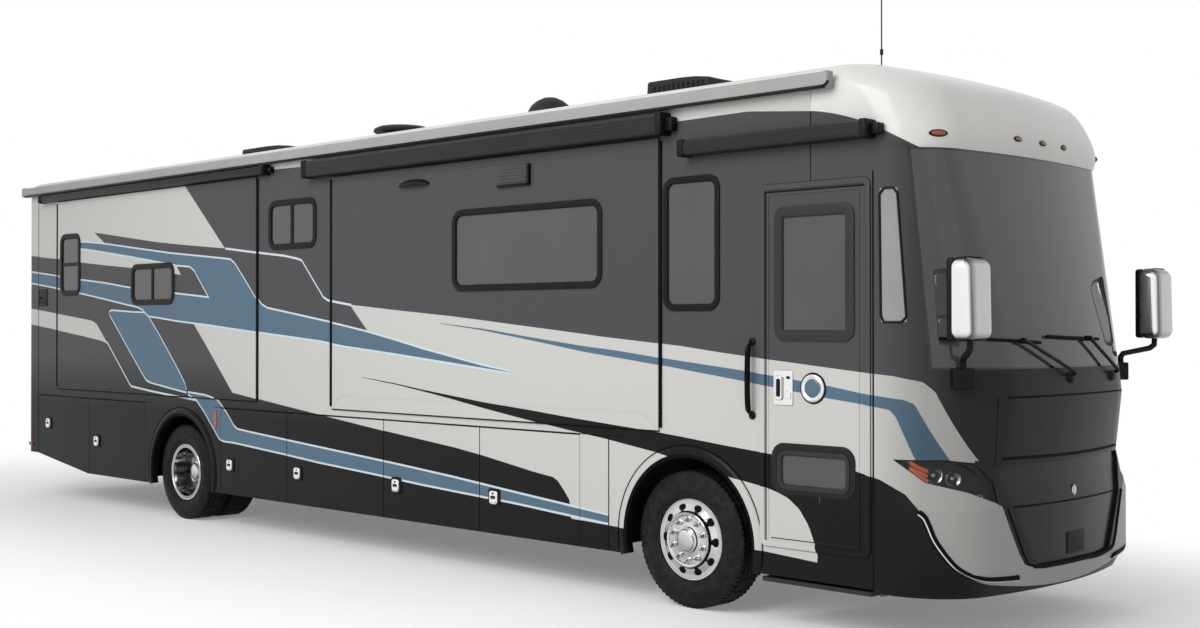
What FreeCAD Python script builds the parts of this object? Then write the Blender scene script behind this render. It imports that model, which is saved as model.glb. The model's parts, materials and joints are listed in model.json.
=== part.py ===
# Class A motorhome: separate panels, glass, running gear, slide-out rooms and doors.
# Millimetres. +X forward, +Y to the driver's side, +Z up; origin on the ground at the middle of the plan.
# Stations are millimetres ahead of the front axle (or of the rear axle where a function says so).
import FreeCAD, Part
import math
import os

V = FreeCAD.Vector

# ---- driving dimensions ----
wheelbase = 7237.0
nose_overhang = 2500.0
tail_overhang = 3763.0
half_width = 1285.0
skirt_z = 350.0
tail_z = 520.0
seam_z = 1240.0
wall_top = 3700.0
roof_top = 3910.0
wall_t = 50.0
bay_door_t = 42.0
cap_t = 60.0
deck_t = 60.0
door_gap = 10.0
hinge_inset = 10.0
hinge_pin_r = 6.0
fit = 0.3
# how far a cutting block runs past what it cuts
past = 1.0
well_past = 100.0

tyre_r = 510.0
tyre_w = 284.0
rim_r = 285.0
arch_r = 640.0
dual_spacing = 340.0
tyre_face_in = 45.0
kingpin_in = 380.0
spindle_r = 50.0

slide_depth = 790.0
slide_t = 40.0
flange_t = 12.0
seal_gap = 6.0

rail_y = 430.0
rail_z0 = 650.0
rail_z1 = 900.0
bay_inner_y = 520.0
bay_floor_z = 400.0
tail_bay_floor_z = 560.0

length = nose_overhang + wheelbase + tail_overhang
front_axle_x = length / 2 - nose_overhang
rear_axle_x = front_axle_x - wheelbase
tail_x = -length / 2
tyre_face_y = half_width - tyre_face_in
kingpin_y = half_width - kingpin_in
wheel_y = tyre_face_y - tyre_w / 2
inner_dual_y = wheel_y - dual_spacing

# Where the panels meet, as stations ahead of the front axle
mask_s = 1660.0
cap_s = 1148.0
cap_line_z = 3567.0
cap_line_bend = (1549.0, 3465.0)
cap_line_end_s = 1946.0
windshield_top = 3260.0
windshield_base = 1810.0
hood_top = 1627.0
hood_base = 1187.0
grille_seam = 907.0
grille_base = 495.0
rear_cap_from_tail = 325.0
tail_rise_s = -2123.0
arch_ahead = 28.0


def ahead(s):
    """x of a station ahead of the front axle."""
    return front_axle_x + s


def of_rear(s):
    """x of a station ahead of the rear axle."""
    return rear_axle_x + s


mask_x = ahead(mask_s)
cap_x = ahead(cap_s)
rear_cap_x = tail_x + rear_cap_from_tail
bay_span = (of_rear(813.0), ahead(-1097.0))


# ---- floor, entry well, bays ----
sheet = 20.0
well_span = (ahead(700.0), ahead(1650.0))
well_mid_y = 820.0
well_inner_y = 560.0
step_rise = (560.0, 880.0)
step_board_t = 40.0
step_z = 300.0
step_t = 30.0
step_in = 10.0
step_depth = 410.0
guide_z = 290.0
guide_in = 60.0
slide_rail_in = 400.0
slide_rail_w = 60.0
slide_rail_end = 10.0
tail_deck_in = 120.0
nose_deck_s = 2080.0
nose_deck_in = 435.0
bay_gap = 5.0

# ---- chassis, engine and axles ----
rail_half_w = 40.0
rail_from_tail = 200.0
rail_nose_s = 2050.0
cross_w = 90.0
cross_up = 60.0
cross_down = 30.0
cross_in = 40.0
cross_stations = (
    tail_x + rail_from_tail + cross_in, of_rear(-1050.0), of_rear(900.0),
    ahead(-3400.0), ahead(-1500.0), ahead(-700.0), ahead(1300.0),
)
socket_half = 25.5
socket_wall = 12.5
socket_z = 468.0
socket_depth = 260.0
hitch_pin_r = 8.25
hitch_pin_from_tail = 60.0

engine_from_tail = 420.0
engine_length = 1250.0
engine_half_w = 340.0
engine_z0 = 560.0
engine_z1 = 1120.0
engine_foot_in = 150.0
engine_foot_w = 100.0
engine_foot_z0 = 700.0
engine_foot_z1 = 800.0
gearbox_length = 700.0
gearbox_half_w = 200.0
gearbox_z1 = 880.0
shaft_r = 50.0
shaft_z = 600.0

spring_z = 495.0
spring_plate_t = 40.0
spring_plate_half_l = 340.0
spring_plate_half_w = 45.0
spring_spread = 250.0
spring_r = 90.0
beam_half_w = 50.0
beam_z0 = 450.0
beam_z1 = 515.0
boss_r = 38.0
boss_z0 = 440.0
boss_z1 = 580.0
boss_gap = 1.0
kingpin_r = 20.0
yoke_half_w = 45.0
yoke_back = 40.0
yoke_front = 72.0
yoke_t = 24.0
yoke_z0 = 400.0
yoke_z1 = 620.0
front_spindle_reach = 120.0
rear_spindle_reach = 130.0
axle_tube_half = 785.0
axle_tube_r = 70.0
final_drive_half = 150.0
final_drive_r = 200.0
pinion_reach = 210.0
pinion_half = 60.0

# ---- wheels ----
# in from the side, radius
tyre_side = (
    (30.3, rim_r + 18.0), (6.0, 350.0), (0.0, 400.0), (3.0, 450.0), (14.0, 488.0),
    (32.0, tyre_r - 4.0), (60.0, tyre_r),
)
bead_y = 111.7
lip_y = 112.0
lip_r = 302.0
rim_edge_y = 118.0
well_r = 262.0
disc_r = 190.0
disc_step = 6.0
front_hub_r = 95.0
# hub's back, rim's flare, disc's back, disc's face, bore's end, cap's end
front_rim_y = (60.0, 90.0, 128.0, 140.0, 150.0, 160.0)
rear_hub_r = 110.0
hub_lap = 5.0
dual_disc_y = (12.0, 75.0)
# hub's back, bore's end, cap's end
rear_hub_y = (-120.0, 150.0, 160.0)
hand_hole_count = 10
hand_hole_circle_r = 222.0
hand_hole_r = 20.0

# ---- things on the body ----
# x from, x to, bottom, top, reach from the wall
right_cassettes = (
    (of_rear(-3243.0), of_rear(1737.0), 3606.0, 3690.0, 95.0),
    (ahead(-4777.0), ahead(-140.0), 3515.0, 3675.0, 120.0),
    (ahead(41.0), ahead(1672.0), 3337.0, 3450.0, 120.0),
)
left_cassettes = right_cassettes[1:2]
cassette_round = 30.0
awning_case_top = 3815.0
awning_case_reach = 75.0
awning_front_s = 1335.0
awning_from_tail = 20.0
# air conditioners: x from, x to, top
roof_units = ((ahead(-1300.0), ahead(-570.0), 4165.0), (of_rear(-393.0), of_rear(587.0), 4095.0))
unit_half_w = 310.0
# aerial dome and vent: x, radius at the foot, radius at the top, height
roof_domes = ((ahead(-2370.0), 225.0, 130.0, 232.0), (of_rear(2737.0), 290.0, 250.0, 178.0))
roof_dome_y = -400.0
antenna_place = (ahead(1160.0), -440.0)
antenna_foot_z = roof_top - 2.4
antenna_foot_top = 3940.0
antenna_top = 4500.0
antenna_coil = (antenna_foot_top + 120.0, antenna_foot_top + 160.0)
# foot, whip, coil
antenna_radii = (25.0, 5.0, 12.0)
mirror_head_in = 100.0
mirror_head_w = 280.0
mirror_head_depth = 200.0
mirror_head_z = (1995.0, 2525.0)
mirror_round = 45.0
mirror_foot_in = 210.0
mirror_foot_z = 1770.0
mirror_foot_r = 60.0
mirror_stand_off = 62.0
mirror_rise = 110.0
mirror_arm_r = 22.0
mirror_arm_bend = 30.0
mirror_arm_in = 60.0
mirror_elbow_back = 15.0
mirror_elbow_in = 10.0
mirror_elbow_down = 65.0
# y of each wiper's pivot and of its arm's end
wiper_pivots = ((-85.0, -640.0), (620.0, 230.0))
wiper_pivot_z = 1765.0
wiper_tip_z = 2000.0
wiper_tip_off = 40.0
wiper_stand_off = 55.0
wiper_arm_r = 12.0
wiper_arm_bend = 20.0
handle_s = 640.0
handle_z = (1460.0, 1980.0)
handle_reach = 60.0
handle_r = 14.0
handle_bend = 25.0
handle_slope = 40.0
tank_front_s = -800.0
tank_gap = 30.0
tank_in = 135.0
tank_z0 = 390.0

# ---- cab ----
driver_y = 600.0
desk_in = 285.0
desk_outline = ((1750.0, seam_z), (2050.0, seam_z), (2050.0, 1780.0), (1900.0, 1840.0), (1750.0, 1760.0))
wheel_hub_s = 1560.0
wheel_hub_z = 1900.0
column_slope = 30.0
column_r = 35.0
column_length = 300.0
steering_r = 215.0
steering_rim_r = 16.0
spoke_r = 14.0
# length, half width and top of the post under the column
column_post = (110.0, 40.0, 1700.0)
seat_places = ((1050.0, driver_y), (250.0, -driver_y))
seat_z = 1780.0
seat_back_top = 2420.0
cushion_t = 140.0
seat_post_r = 150.0
# back's rear, cushion's rear (both behind the post), cushion's front; half widths of cushion and back
seat_x = (330.0, 210.0, 260.0)
seat_half_w = (260.0, 250.0)
seat_back_down = 80.0


# ---- small makers ----
def box(x0, x1, y0, y1, z0, z1):
    return Part.makeBox(x1 - x0, y1 - y0, z1 - z0, V(x0, y0, z0))


def prism(points, along):
    """Extrude the polygon through the points by the vector along."""
    return Part.Face(Part.makePolygon(list(points) + [points[0]])).extrude(along)


def mirrored(shape):
    return shape.mirror(V(0, 0, 0), V(0, 1, 0))


def both_sides(shape):
    return [shape, mirrored(shape)]


def rounded_plate(x0, x1, z0, z1, radius, y0, y1):
    """A plate facing Y with rounded corners."""
    plate = box(x0, x1, y0, y1, z0, z1)
    upright = [e for e in plate.Edges if abs(e.tangentAt(e.FirstParameter).y) > 0.99]
    return plate.makeFillet(radius, upright)


def upright_rod(x, y, z0, z1, radius):
    return Part.makeCylinder(radius, z1 - z0, V(x, y, z0), V(0, 0, 1))


def cross_rod(x, y0, y1, z, radius):
    return Part.makeCylinder(radius, y1 - y0, V(x, y0, z), V(0, 1, 0))


def fused(shapes):
    return shapes[0].fuse(list(shapes[1:])).removeSplitter()


def turned(profile, x, y, z):
    """Revolve a closed (y, radius) polygon about the Y direction through (x, y, z)."""
    face = Part.Face(Part.makePolygon([V(0, a, r) for a, r in list(profile) + [profile[0]]]))
    solid = face.revolve(V(0, 0, 0), V(0, 1, 0), 360)
    solid.translate(V(x, y, z))
    return solid


# ---- the rounded front ----
# height, nose station, y where the corner starts, radius of the front in plan, half width
MASK_LEVELS = (
    (330.0, 2360.0, 900.0, 4000.0, 1285.0),
    (500.0, 2455.0, 930.0, 4000.0, 1285.0),
    (907.0, 2455.0, 930.0, 4000.0, 1285.0),
    (1187.0, 2400.0, 750.0, 4500.0, 1285.0),
    (1627.0, 2450.0, 700.0, 5000.0, 1285.0),
    (1810.0, 2430.0, 700.0, 5000.0, 1285.0),
    (3260.0, 2150.0, 930.0, 6400.0, 1285.0),
)
DOME_LEVELS = (
    (3260.0, 2150.0, 930.0, 6400.0, 1285.0),
    (3400.0, 2190.0, 930.0, 5000.0, 1285.0),
    (3560.0, 2120.0, 930.0, 5000.0, 1285.0),
    (3700.0, 2020.0, 900.0, 5000.0, 1278.0),
    (3800.0, 1840.0, 850.0, 5000.0, 1240.0),
    (3870.0, 1620.0, 900.0, 5000.0, 1150.0),
    (3900.0, 1500.0, 850.0, 5000.0, 1050.0),
)
# levels above this height are lowered with the inner skin
ceiling_from_z = 3500.0
# the half width that the levels above are drawn for
design_half_width = 1285.0


def plan_numbers(level):
    """Nose x, corner's start angle, corner radius and the corner's centre for one level."""
    z, nose, corner_y, radius, side = level
    wider = half_width - design_half_width
    side = side + wider
    corner_y = corner_y + wider
    turn = math.asin(corner_y / radius)
    corner_x = ahead(nose) - radius * (1 - math.cos(turn))
    corner_r = (side - corner_y) / (1 - math.sin(turn))
    return ahead(nose), turn, corner_r, corner_x - corner_r * math.cos(turn), side - corner_r


def skin_point(y, z):
    """The point of the mask's outer skin at y and z."""
    for low, high in zip(MASK_LEVELS, MASK_LEVELS[1:]):
        if low[0] <= z <= high[0]:
            share = (z - low[0]) / (high[0] - low[0])
            level = tuple(a + share * (b - a) for a, b in zip(low, high))
    nose_x, turn, corner_r, centre_x, centre_y = plan_numbers(level)
    if abs(y) > centre_y + corner_r * math.sin(turn):
        return V(centre_x + math.sqrt(corner_r ** 2 - (abs(y) - centre_y) ** 2), y, z)
    radius = level[3]
    return V(nose_x - radius + math.sqrt(radius ** 2 - y ** 2), y, z)


def skin_normal(y, z):
    across = skin_point(y + 1, z) - skin_point(y - 1, z)
    up = skin_point(y, z + 1) - skin_point(y, z - 1)
    return across.cross(up).normalize()


def plan_wire(level, rear_x, inset):
    """One plan outline: straight sides, a corner arc each side and a shallow front arc."""
    z = level[0]
    nose_x, turn, corner_r, centre_x, centre_y = plan_numbers(level)
    centre = V(centre_x, centre_y, z)
    corner_r -= inset
    half_turn = (turn + math.pi / 2) / 2
    nose_point = V(nose_x - inset, 0, z)
    left = [centre + V(0, corner_r, 0)]
    left.append(centre + V(corner_r * math.cos(half_turn), corner_r * math.sin(half_turn), 0))
    left.append(centre + V(corner_r * math.cos(turn), corner_r * math.sin(turn), 0))
    right = [V(p.x, -p.y, z) for p in left]
    rear_left = V(rear_x, left[0].y, z)
    rear_right = V(rear_x, right[0].y, z)
    edges = [
        Part.makeLine(rear_right, right[0]),
        Part.Arc(*right).toShape(),
        Part.Arc(right[2], nose_point, left[2]).toShape(),
        Part.Arc(*reversed(left)).toShape(),
        Part.makeLine(left[0], rear_left),
        Part.makeLine(rear_left, rear_right),
    ]
    return Part.Wire(edges)


def mask_body(inset):
    """The solid below the roof cap, set in from the outer skin."""
    return Part.makeLoft([plan_wire(level, mask_x, inset) for level in MASK_LEVELS], True, True)


def dome_body(inset):
    """The solid of the roof cap, set in from the outer skin and lowered at its top."""
    levels = [level if level[0] < ceiling_from_z else (level[0] - inset,) + level[1:] for level in DOME_LEVELS]
    return Part.makeLoft([plan_wire(level, cap_x, inset) for level in levels], True, False)


def mask_shell(outer, inner):
    return mask_body(outer).cut(mask_body(inner))


def cap_line_region(x0, below):
    """Everything below (or above) the line where the light roof cap ends on the sides."""
    y = -half_width - well_past
    start = V(cap_x, y, cap_line_z)
    middle = V(ahead(cap_line_bend[0]), y, cap_line_bend[1])
    end = V(ahead(cap_line_end_s), y, windshield_top)
    level = skirt_z if below else roof_top + well_past
    far = V(ahead(nose_overhang + well_past), y, windshield_top)
    corners = [end, far, V(far.x, far.y, level), V(x0, far.y, level), V(x0, far.y, start.z)]
    edges = [Part.makeLine(a, b) for a, b in zip(corners, corners[1:])]
    edges.append(Part.Arc(start, middle, end).toShape())
    if x0 < cap_x:
        edges.append(Part.makeLine(corners[-1], start))
    wire = Part.Wire(Part.__sortEdges__(edges))
    return Part.Face(wire).extrude(V(0, -2 * y, 0))


def front_view_prism(half_widths, grow):
    """A prism along X whose outline is (half width, height) pairs, mirrored about the middle."""
    more = grow + half_width - design_half_width
    right = [V(mask_x, -w - more, z) for w, z in half_widths]
    left = [V(mask_x, w + more, z) for w, z in reversed(half_widths)]
    return prism(right + left, V(nose_overhang, 0, 0))


windshield_outline = ((1228.0, windshield_top), (1205.0, windshield_base))
hood_outline = ((899.0, hood_top), (887.0, hood_base))
grille_outline = ((887.0, hood_base), (755.0, grille_seam), (516.0, grille_base))
# distance along the corner's diagonal and height
headlight_far = 1900.0
headlight_near = 500.0
headlight_outline = (
    (368.0, 1220.0), (683.0, 1226.0), (879.0, 1206.0), (998.0, 1083.0),
    (1031.0, 941.0), (818.0, 1020.0), (553.0, 1079.0),
)


def headlight_prism():
    """A prism through the corner, looking at it from forward and outboard at 45 degrees."""
    root_half = math.sqrt(0.5)
    points = []
    for along, z in headlight_outline:
        x = ahead(along * root_half)
        y = along * root_half - (half_width - design_half_width)
        points.append(V(x + headlight_far, y - headlight_far, z))
    return prism(points, V(headlight_near - headlight_far, headlight_far - headlight_near, 0))


# ---- openings in the sides ----
entry_door_span = (ahead(765.0), ahead(1590.0), 580.0, 3025.0)

# Baggage seams: two bays behind the rear axle, four between the axles as shares of the span
tail_seams = (tail_x + 370.0, of_rear(-2088.0), of_rear(-763.0))
mid_shares = (0.0, 0.2298, 0.5224, 0.7727, 1.0)
mid_seams = tuple(bay_span[0] + s * (bay_span[1] - bay_span[0]) for s in mid_shares)
right_doors = list(zip(tail_seams, tail_seams[1:])) + list(zip(mid_seams, mid_seams[1:]))
left_doors = list(zip(mid_seams, mid_seams[1:]))[:3]

# Slide-out rooms: rear x, front x, bottom and top of the flange that covers the opening
bedroom_slide = (of_rear(-2893.0), of_rear(1502.0), 1334.0, 3595.0)
living_slide = (ahead(-4430.0), ahead(-248.0), 1310.0, 3500.0)

# Windows: rear x, front x, bottom, top, corner radius
bedroom_windows = (
    (of_rear(-2779.0), of_rear(-2310.0), 2478.0, 3174.0, 60.0),
    (of_rear(-1038.0), of_rear(-115.0), 2341.0, 2769.0, 60.0),
)
living_windows = ((ahead(-2633.0), ahead(-844.0), 2399.0, 3077.0, 90.0),)
middle_window = (of_rear(1728.0), of_rear(2523.0), 2861.0, 3322.0, 60.0)
tall_window = (ahead(-196.0), ahead(330.0), 2215.0, 3185.0, 60.0)
driver_window = (ahead(780.0), ahead(1560.0), 2038.0, 2870.0, 60.0)
right_windows = (middle_window, tall_window)
left_windows = (middle_window, tall_window, driver_window) + bedroom_windows
entry_windows = (
    (ahead(888.0), ahead(1460.0), 2038.0, 2870.0, 50.0),
    (ahead(881.0), ahead(1459.0), 970.0, 1218.0, 40.0),
)
cab_window = ((1705.0, 3000.0), (1826.0, 3000.0), (1894.0, 2118.0), (1716.0, 2118.0))
flange_lap = 40.0
sill_lap = 60.0
room_clearance = 10.0
pane_t = 12.0
pane_inset = 3.0


def window_cut(window, y0, y1):
    x0, x1, z0, z1, radius = window
    return rounded_plate(x0, x1, z0, z1, radius, y0, y1)


def pane(window, outer_y):
    """A pane for the right side, just clear of its hole, set in from outer_y."""
    x0, x1, z0, z1, radius = window
    y0 = outer_y + pane_inset
    return rounded_plate(x0 + fit, x1 - fit, z0 + fit, z1 - fit, radius, y0, y0 + pane_t)


def slide_hole(slide):
    """The room's hole through the wall: rear x, front x, bottom, top."""
    x0, x1, z0, z1 = slide
    return x0 + flange_lap, x1 - flange_lap, z0 + sill_lap, z1 - flange_lap


def tail_cut():
    """What lies below the rising underside of the tail."""
    y = -half_width - well_past
    x0 = tail_x - well_past
    x1 = of_rear(tail_rise_s)
    low = skirt_z - well_past
    points = [V(x1, y, skirt_z), V(rear_cap_x, y, tail_z), V(x0, y, tail_z), V(x0, y, low), V(x1, y, low)]
    return prism(points, V(0, -2 * y, 0))


def pivot(x, y, z0, z1, extra=0.0):
    return upright_rod(x, y, z0, z1, hinge_pin_r + extra)


# ---- walls: made as right-hand walls at -Y; the left one is mirrored ----
pivot_reach = 20.0
pivot_short = 2.0
pivot_in = (60.0, 40.0)


def side_wall(windows, slides, doors, with_entry):
    y0 = -half_width
    y1 = -half_width + wall_t
    wall = box(rear_cap_x, mask_x, y0, y1, skirt_z, wall_top)
    cuts = [tail_cut(), cap_line_region(cap_x, False)]
    for axle_x in (front_axle_x, rear_axle_x):
        cuts.append(cross_rod(axle_x + arch_ahead, y0 - past, y1 + past, tyre_r, arch_r))
    for window in windows:
        cuts.append(window_cut(window, y0 - past, y1 + past))
    for slide in slides:
        x0, x1, z0, z1 = slide_hole(slide)
        cuts.append(box(x0, x1, y0 - past, y1 + past, z0, z1))
    for x0, x1 in doors:
        cuts.append(box(x0, x1, y0 - past, y1 + past, skirt_z - past, seam_z))
        hinge_x = x1 - door_gap / 2 - hinge_inset
        cuts.append(pivot(hinge_x, y0 + hinge_inset, seam_z - past, seam_z + pivot_reach, fit))
    if with_entry:
        x0, x1, z0, z1 = entry_door_span
        gap = door_gap
        cuts.append(box(x0 - gap, x1 + gap, y0 - past, y1 + past, z0 - gap, z1 + gap))
        for low, high in ((z0 - gap - pivot_reach, z0), (z1, z1 + gap + pivot_reach)):
            cuts.append(pivot(x1 - hinge_inset, y0 + hinge_inset, low, high, fit))
    return wall.cut(cuts)


def right_wall():
    return [side_wall(right_windows, (bedroom_slide, living_slide), right_doors, True)]


def left_wall():
    return [mirrored(side_wall(left_windows, (living_slide,), left_doors, False))]


# ---- roof, caps and front ----
tail_corner_r = 150.0
ceiling_z = 3800.0
# in from the side and down from the top
roof_shoulder = (235.0, 17.0)
roof_bend = (63.0, 90.0)


def tail_plan(inset, z0, z1, front_x):
    """A block with rounded rear corners, as wide as the body less the inset."""
    block = box(tail_x + inset, front_x, -half_width + inset, half_width - inset, z0, z1)
    upright = []
    for e in block.Edges:
        if abs(e.tangentAt(e.FirstParameter).z) > 0.99 and e.CenterOfMass.x < tail_x + inset + past:
            upright.append(e)
    return block.makeFillet(tail_corner_r - inset, upright)


def roof_panel():
    """The crowned top, and the strips below it along the sides and the tail."""
    shoulder_y = half_width - roof_shoulder[0]
    shoulder_z = roof_top - roof_shoulder[1]
    bend = V(tail_x, half_width - roof_bend[0], roof_top - roof_bend[1])
    edges = [
        Part.Arc(V(tail_x, half_width, wall_top), bend, V(tail_x, shoulder_y, shoulder_z)).toShape(),
        Part.Arc(V(tail_x, shoulder_y, shoulder_z), V(tail_x, 0, roof_top),
                 V(tail_x, -shoulder_y, shoulder_z)).toShape(),
        Part.Arc(V(tail_x, -shoulder_y, shoulder_z), V(tail_x, -bend.y, bend.z),
                 V(tail_x, -half_width, wall_top)).toShape(),
        Part.makeLine(V(tail_x, -half_width, wall_top), V(tail_x, half_width, wall_top)),
    ]
    roof = Part.Face(Part.Wire(edges)).extrude(V(cap_x - tail_x, 0, 0))
    roof = roof.common(tail_plan(-past, wall_top - past, roof_top + past, cap_x + past))
    inner_y = half_width - wall_t
    room = box(tail_x + cap_t, cap_x + 1, -inner_y, inner_y, wall_top - past, ceiling_z)
    big = half_width + well_past
    upper = roof.common(box(tail_x - well_past, cap_x + past, -big, big, ceiling_z, roof_top + past))
    lower = roof.cut([upper, room])
    side = box(tail_x + cap_t, cap_x + 1, -big, -inner_y, wall_top - past, ceiling_z)
    rear = box(tail_x - well_past, tail_x + cap_t, -big, big, wall_top - past, ceiling_z)
    return [upper] + [lower.common(region) for region in both_sides(side) + [rear]]


def roof_cap():
    shell = dome_body(0).cut(dome_body(cap_t))
    return [shell.cut(cap_line_region(cap_x - well_past, True))]


def front_mask():
    lower = mask_shell(0, cap_t)
    big = half_width + well_past
    lower = lower.cut(box(mask_x - past, tail_x + length + well_past, -big, big, 0, hood_base))
    pillars = dome_body(0).cut(dome_body(cap_t)).common(cap_line_region(cap_x - well_past, True))
    pillars = pillars.cut(box(cap_x - 2 * well_past, mask_x, -big, big, windshield_base, roof_top + well_past))
    mask = lower.fuse(pillars)
    cuts = [front_view_prism(windshield_outline, 0), front_view_prism(hood_outline, 0)]
    cuts += both_sides(headlight_prism())
    cuts += both_sides(cab_window_prism())
    return [mask.cut(cuts)]


def cab_window_prism():
    y = -half_width - well_past
    return prism([V(ahead(s), y, z) for s, z in cab_window], V(0, 3 * well_past, 0))


glass_inset = 4.0
glass_t = 14.0


def windshield():
    shell = mask_shell(glass_inset, glass_inset + glass_t)
    return [shell.common(front_view_prism(windshield_outline, 0))]


def hood_panel():
    return [mask_shell(0, cap_t).common(front_view_prism(hood_outline, 0))]


grille_inset = 25.0
grille_t = 40.0


def grille_panel():
    shell = mask_shell(grille_inset, grille_inset + grille_t)
    return [shell.common(front_view_prism(grille_outline, 0))]


def front_bumper():
    big = half_width + well_past
    shell = mask_shell(0, cap_t)
    shell = shell.cut(box(mask_x - past, tail_x + length + well_past, -big, big, hood_base, wall_top))
    return [shell.cut([front_view_prism(grille_outline, 0)] + both_sides(headlight_prism()))]


lens_inset = 8.0


def headlights():
    shell = mask_shell(lens_inset, cap_t)
    return both_sides(shell.common(headlight_prism()))


# Rear cap: opening for the engine door, half width, bottom and top
engine_door_half = 750.0
engine_door_z = (640.0, 1500.0)
lamp_in = 135.0
lamp_w = 140.0
lamp_z = (900.0, 1350.0)
lamp_t = 45.0


def rear_cap():
    inside = tail_plan(cap_t, tail_z - past, wall_top + past, rear_cap_x + past)
    cap = tail_plan(0, tail_z, wall_top, rear_cap_x).cut(inside)
    z0, z1 = engine_door_z
    half = engine_door_half
    cuts = [box(tail_x - past, tail_x + cap_t + past, -half, half, z0, z1)]
    hinge = (tail_x + hinge_inset, z1 - door_gap - hinge_inset)
    cuts.append(cross_rod(hinge[0], -half - pivot_reach, half + pivot_reach, hinge[1], hinge_pin_r + fit))
    cuts += lamp_boxes(tail_x - past)
    return [cap.cut(cuts)]


def lamp_boxes(x0):
    """The two tail lamps' blocks from x0 forward."""
    y0 = -half_width + lamp_in
    low, high = lamp_z
    return both_sides(box(x0, tail_x + lamp_t, y0, y0 + lamp_w, low, high))


def tail_lights():
    return lamp_boxes(tail_x)


def engine_door():
    z0, z1 = engine_door_z
    half = engine_door_half - door_gap
    door = box(tail_x, tail_x + cap_t, -half, half, z0 + door_gap, z1 - door_gap)
    hinge = (tail_x + hinge_inset, z1 - door_gap - hinge_inset)
    reach = engine_door_half + pivot_reach - pivot_short
    return [fused([door, cross_rod(hinge[0], -reach, reach, hinge[1], hinge_pin_r)])]


def side_glass():
    panes = [pane(window, -half_width) for window in right_windows]
    panes += [mirrored(pane(window, -half_width)) for window in left_windows]
    shell = mask_shell(glass_inset, glass_inset + glass_t)
    return panes + both_sides(shell.common(cab_window_prism()))


# ---- doors and lids ----
def baggage_door(span):
    """A right-hand baggage door with its upper pivot at the front edge."""
    x0 = span[0] + door_gap / 2
    x1 = span[1] - door_gap / 2
    top = seam_z - door_gap
    door = box(x0, x1, -half_width, -half_width + bay_door_t, skirt_z, top)
    pin_top = seam_z + pivot_reach - pivot_short
    pin = pivot(x1 - hinge_inset, -half_width + hinge_inset, top - pivot_in[0], pin_top)
    return fused([door, pin]).cut(tail_cut())


def entry_door():
    x0, x1, z0, z1 = entry_door_span
    door = box(x0, x1, -half_width, -half_width + wall_t, z0, z1)
    reach = door_gap + pivot_reach - pivot_short
    grip = pivot_in[1]
    x = x1 - hinge_inset
    y = -half_width + hinge_inset
    leaf = fused([door, pivot(x, y, z0 - reach, z0 + grip), pivot(x, y, z1 - grip, z1 + reach)])
    y0 = -half_width - past
    y1 = -half_width + wall_t + past
    return [leaf.cut([window_cut(w, y0, y1) for w in entry_windows])]


def entry_door_glass():
    return [pane(window, -half_width) for window in entry_windows]


# ---- slide-out rooms ----
def slide_room(slide, windows):
    x0, x1, z0, z1 = slide
    out_y = -half_width - seal_gap - flange_t
    flange = box(x0, x1, out_y, out_y + flange_t, z0, z1)
    a, b, low, high = slide_hole(slide)
    c = room_clearance
    t = slide_t
    room = box(a + c, b - c, out_y + flange_t, out_y + slide_depth, low + c, high - c)
    d = c + t
    hollow = box(a + d, b - d, out_y + flange_t + t, out_y + slide_depth + past, low + d, high - d)
    shell = fused([flange, room.cut(hollow)])
    return shell.cut([window_cut(w, out_y - past, out_y + flange_t + t + past) for w in windows])


def slide_glass(windows):
    return [pane(window, -half_width - seal_gap - flange_t) for window in windows]


# ---- floor, bays and frame ----
def slide_rails(slide, side):
    """Two low rails on the floor that carry one slide-out room."""
    inner_y = half_width - wall_t
    a, b, bottom, top = slide_hole(slide)
    y0, y1 = sorted((side * (inner_y - slide_rail_end), side * (bay_inner_y + slide_rail_end)))
    z1 = bottom + room_clearance - fit
    stations = (a + slide_rail_in, b - slide_rail_in - slide_rail_w)
    return [box(x, x + slide_rail_w, y0, y1, seam_z, z1) for x in stations]


def floor_deck():
    """The deck round the entry well, the well's boards and step guides, and the slide-out rails."""
    inner_y = half_width - wall_t
    tail_y = inner_y - tail_deck_in
    z0 = seam_z - deck_t
    x0 = well_span[0] + sheet
    x1 = well_span[1] - sheet
    low, high = step_rise
    pieces = [box(tail_x + cap_t, rear_cap_x, -tail_y, tail_y, z0, seam_z)]
    pieces.append(box(rear_cap_x, x0, -inner_y, inner_y, z0, seam_z))
    pieces.append(box(x0, x1, -well_inner_y, inner_y, z0, seam_z))
    pieces.append(box(x1, mask_x, -inner_y, inner_y, z0, seam_z))
    half = half_width - nose_deck_in
    pieces.append(box(mask_x, ahead(nose_deck_s), -half, half, z0, seam_z))
    pieces.append(box(x0, x1, -inner_y, -well_mid_y, low - step_board_t, low))
    pieces.append(box(x0, x1, -well_mid_y, -well_mid_y + sheet, low - step_board_t, high - sheet))
    pieces.append(box(x0, x1, -well_mid_y, -well_inner_y, high - sheet, high))
    pieces.append(box(x0, x1, -well_inner_y, -well_inner_y + sheet, high - sheet, z0))
    for a in (x0 - sheet, x1):
        pieces.append(box(a, a + sheet, -inner_y, -well_inner_y, low - step_board_t, z0))
        pieces.append(box(a, a + sheet, -inner_y + guide_in, -well_mid_y, guide_z, low - step_board_t))
    for slide, side in ((bedroom_slide, -1), (living_slide, -1), (living_slide, 1)):
        pieces += slide_rails(slide, side)
    return pieces


def entry_step():
    x0, x1 = well_span
    y0 = -half_width + step_in
    return [box(x0 + sheet + fit, x1 - sheet - fit, y0, y0 + step_depth, step_z, step_z + step_t)]


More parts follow.
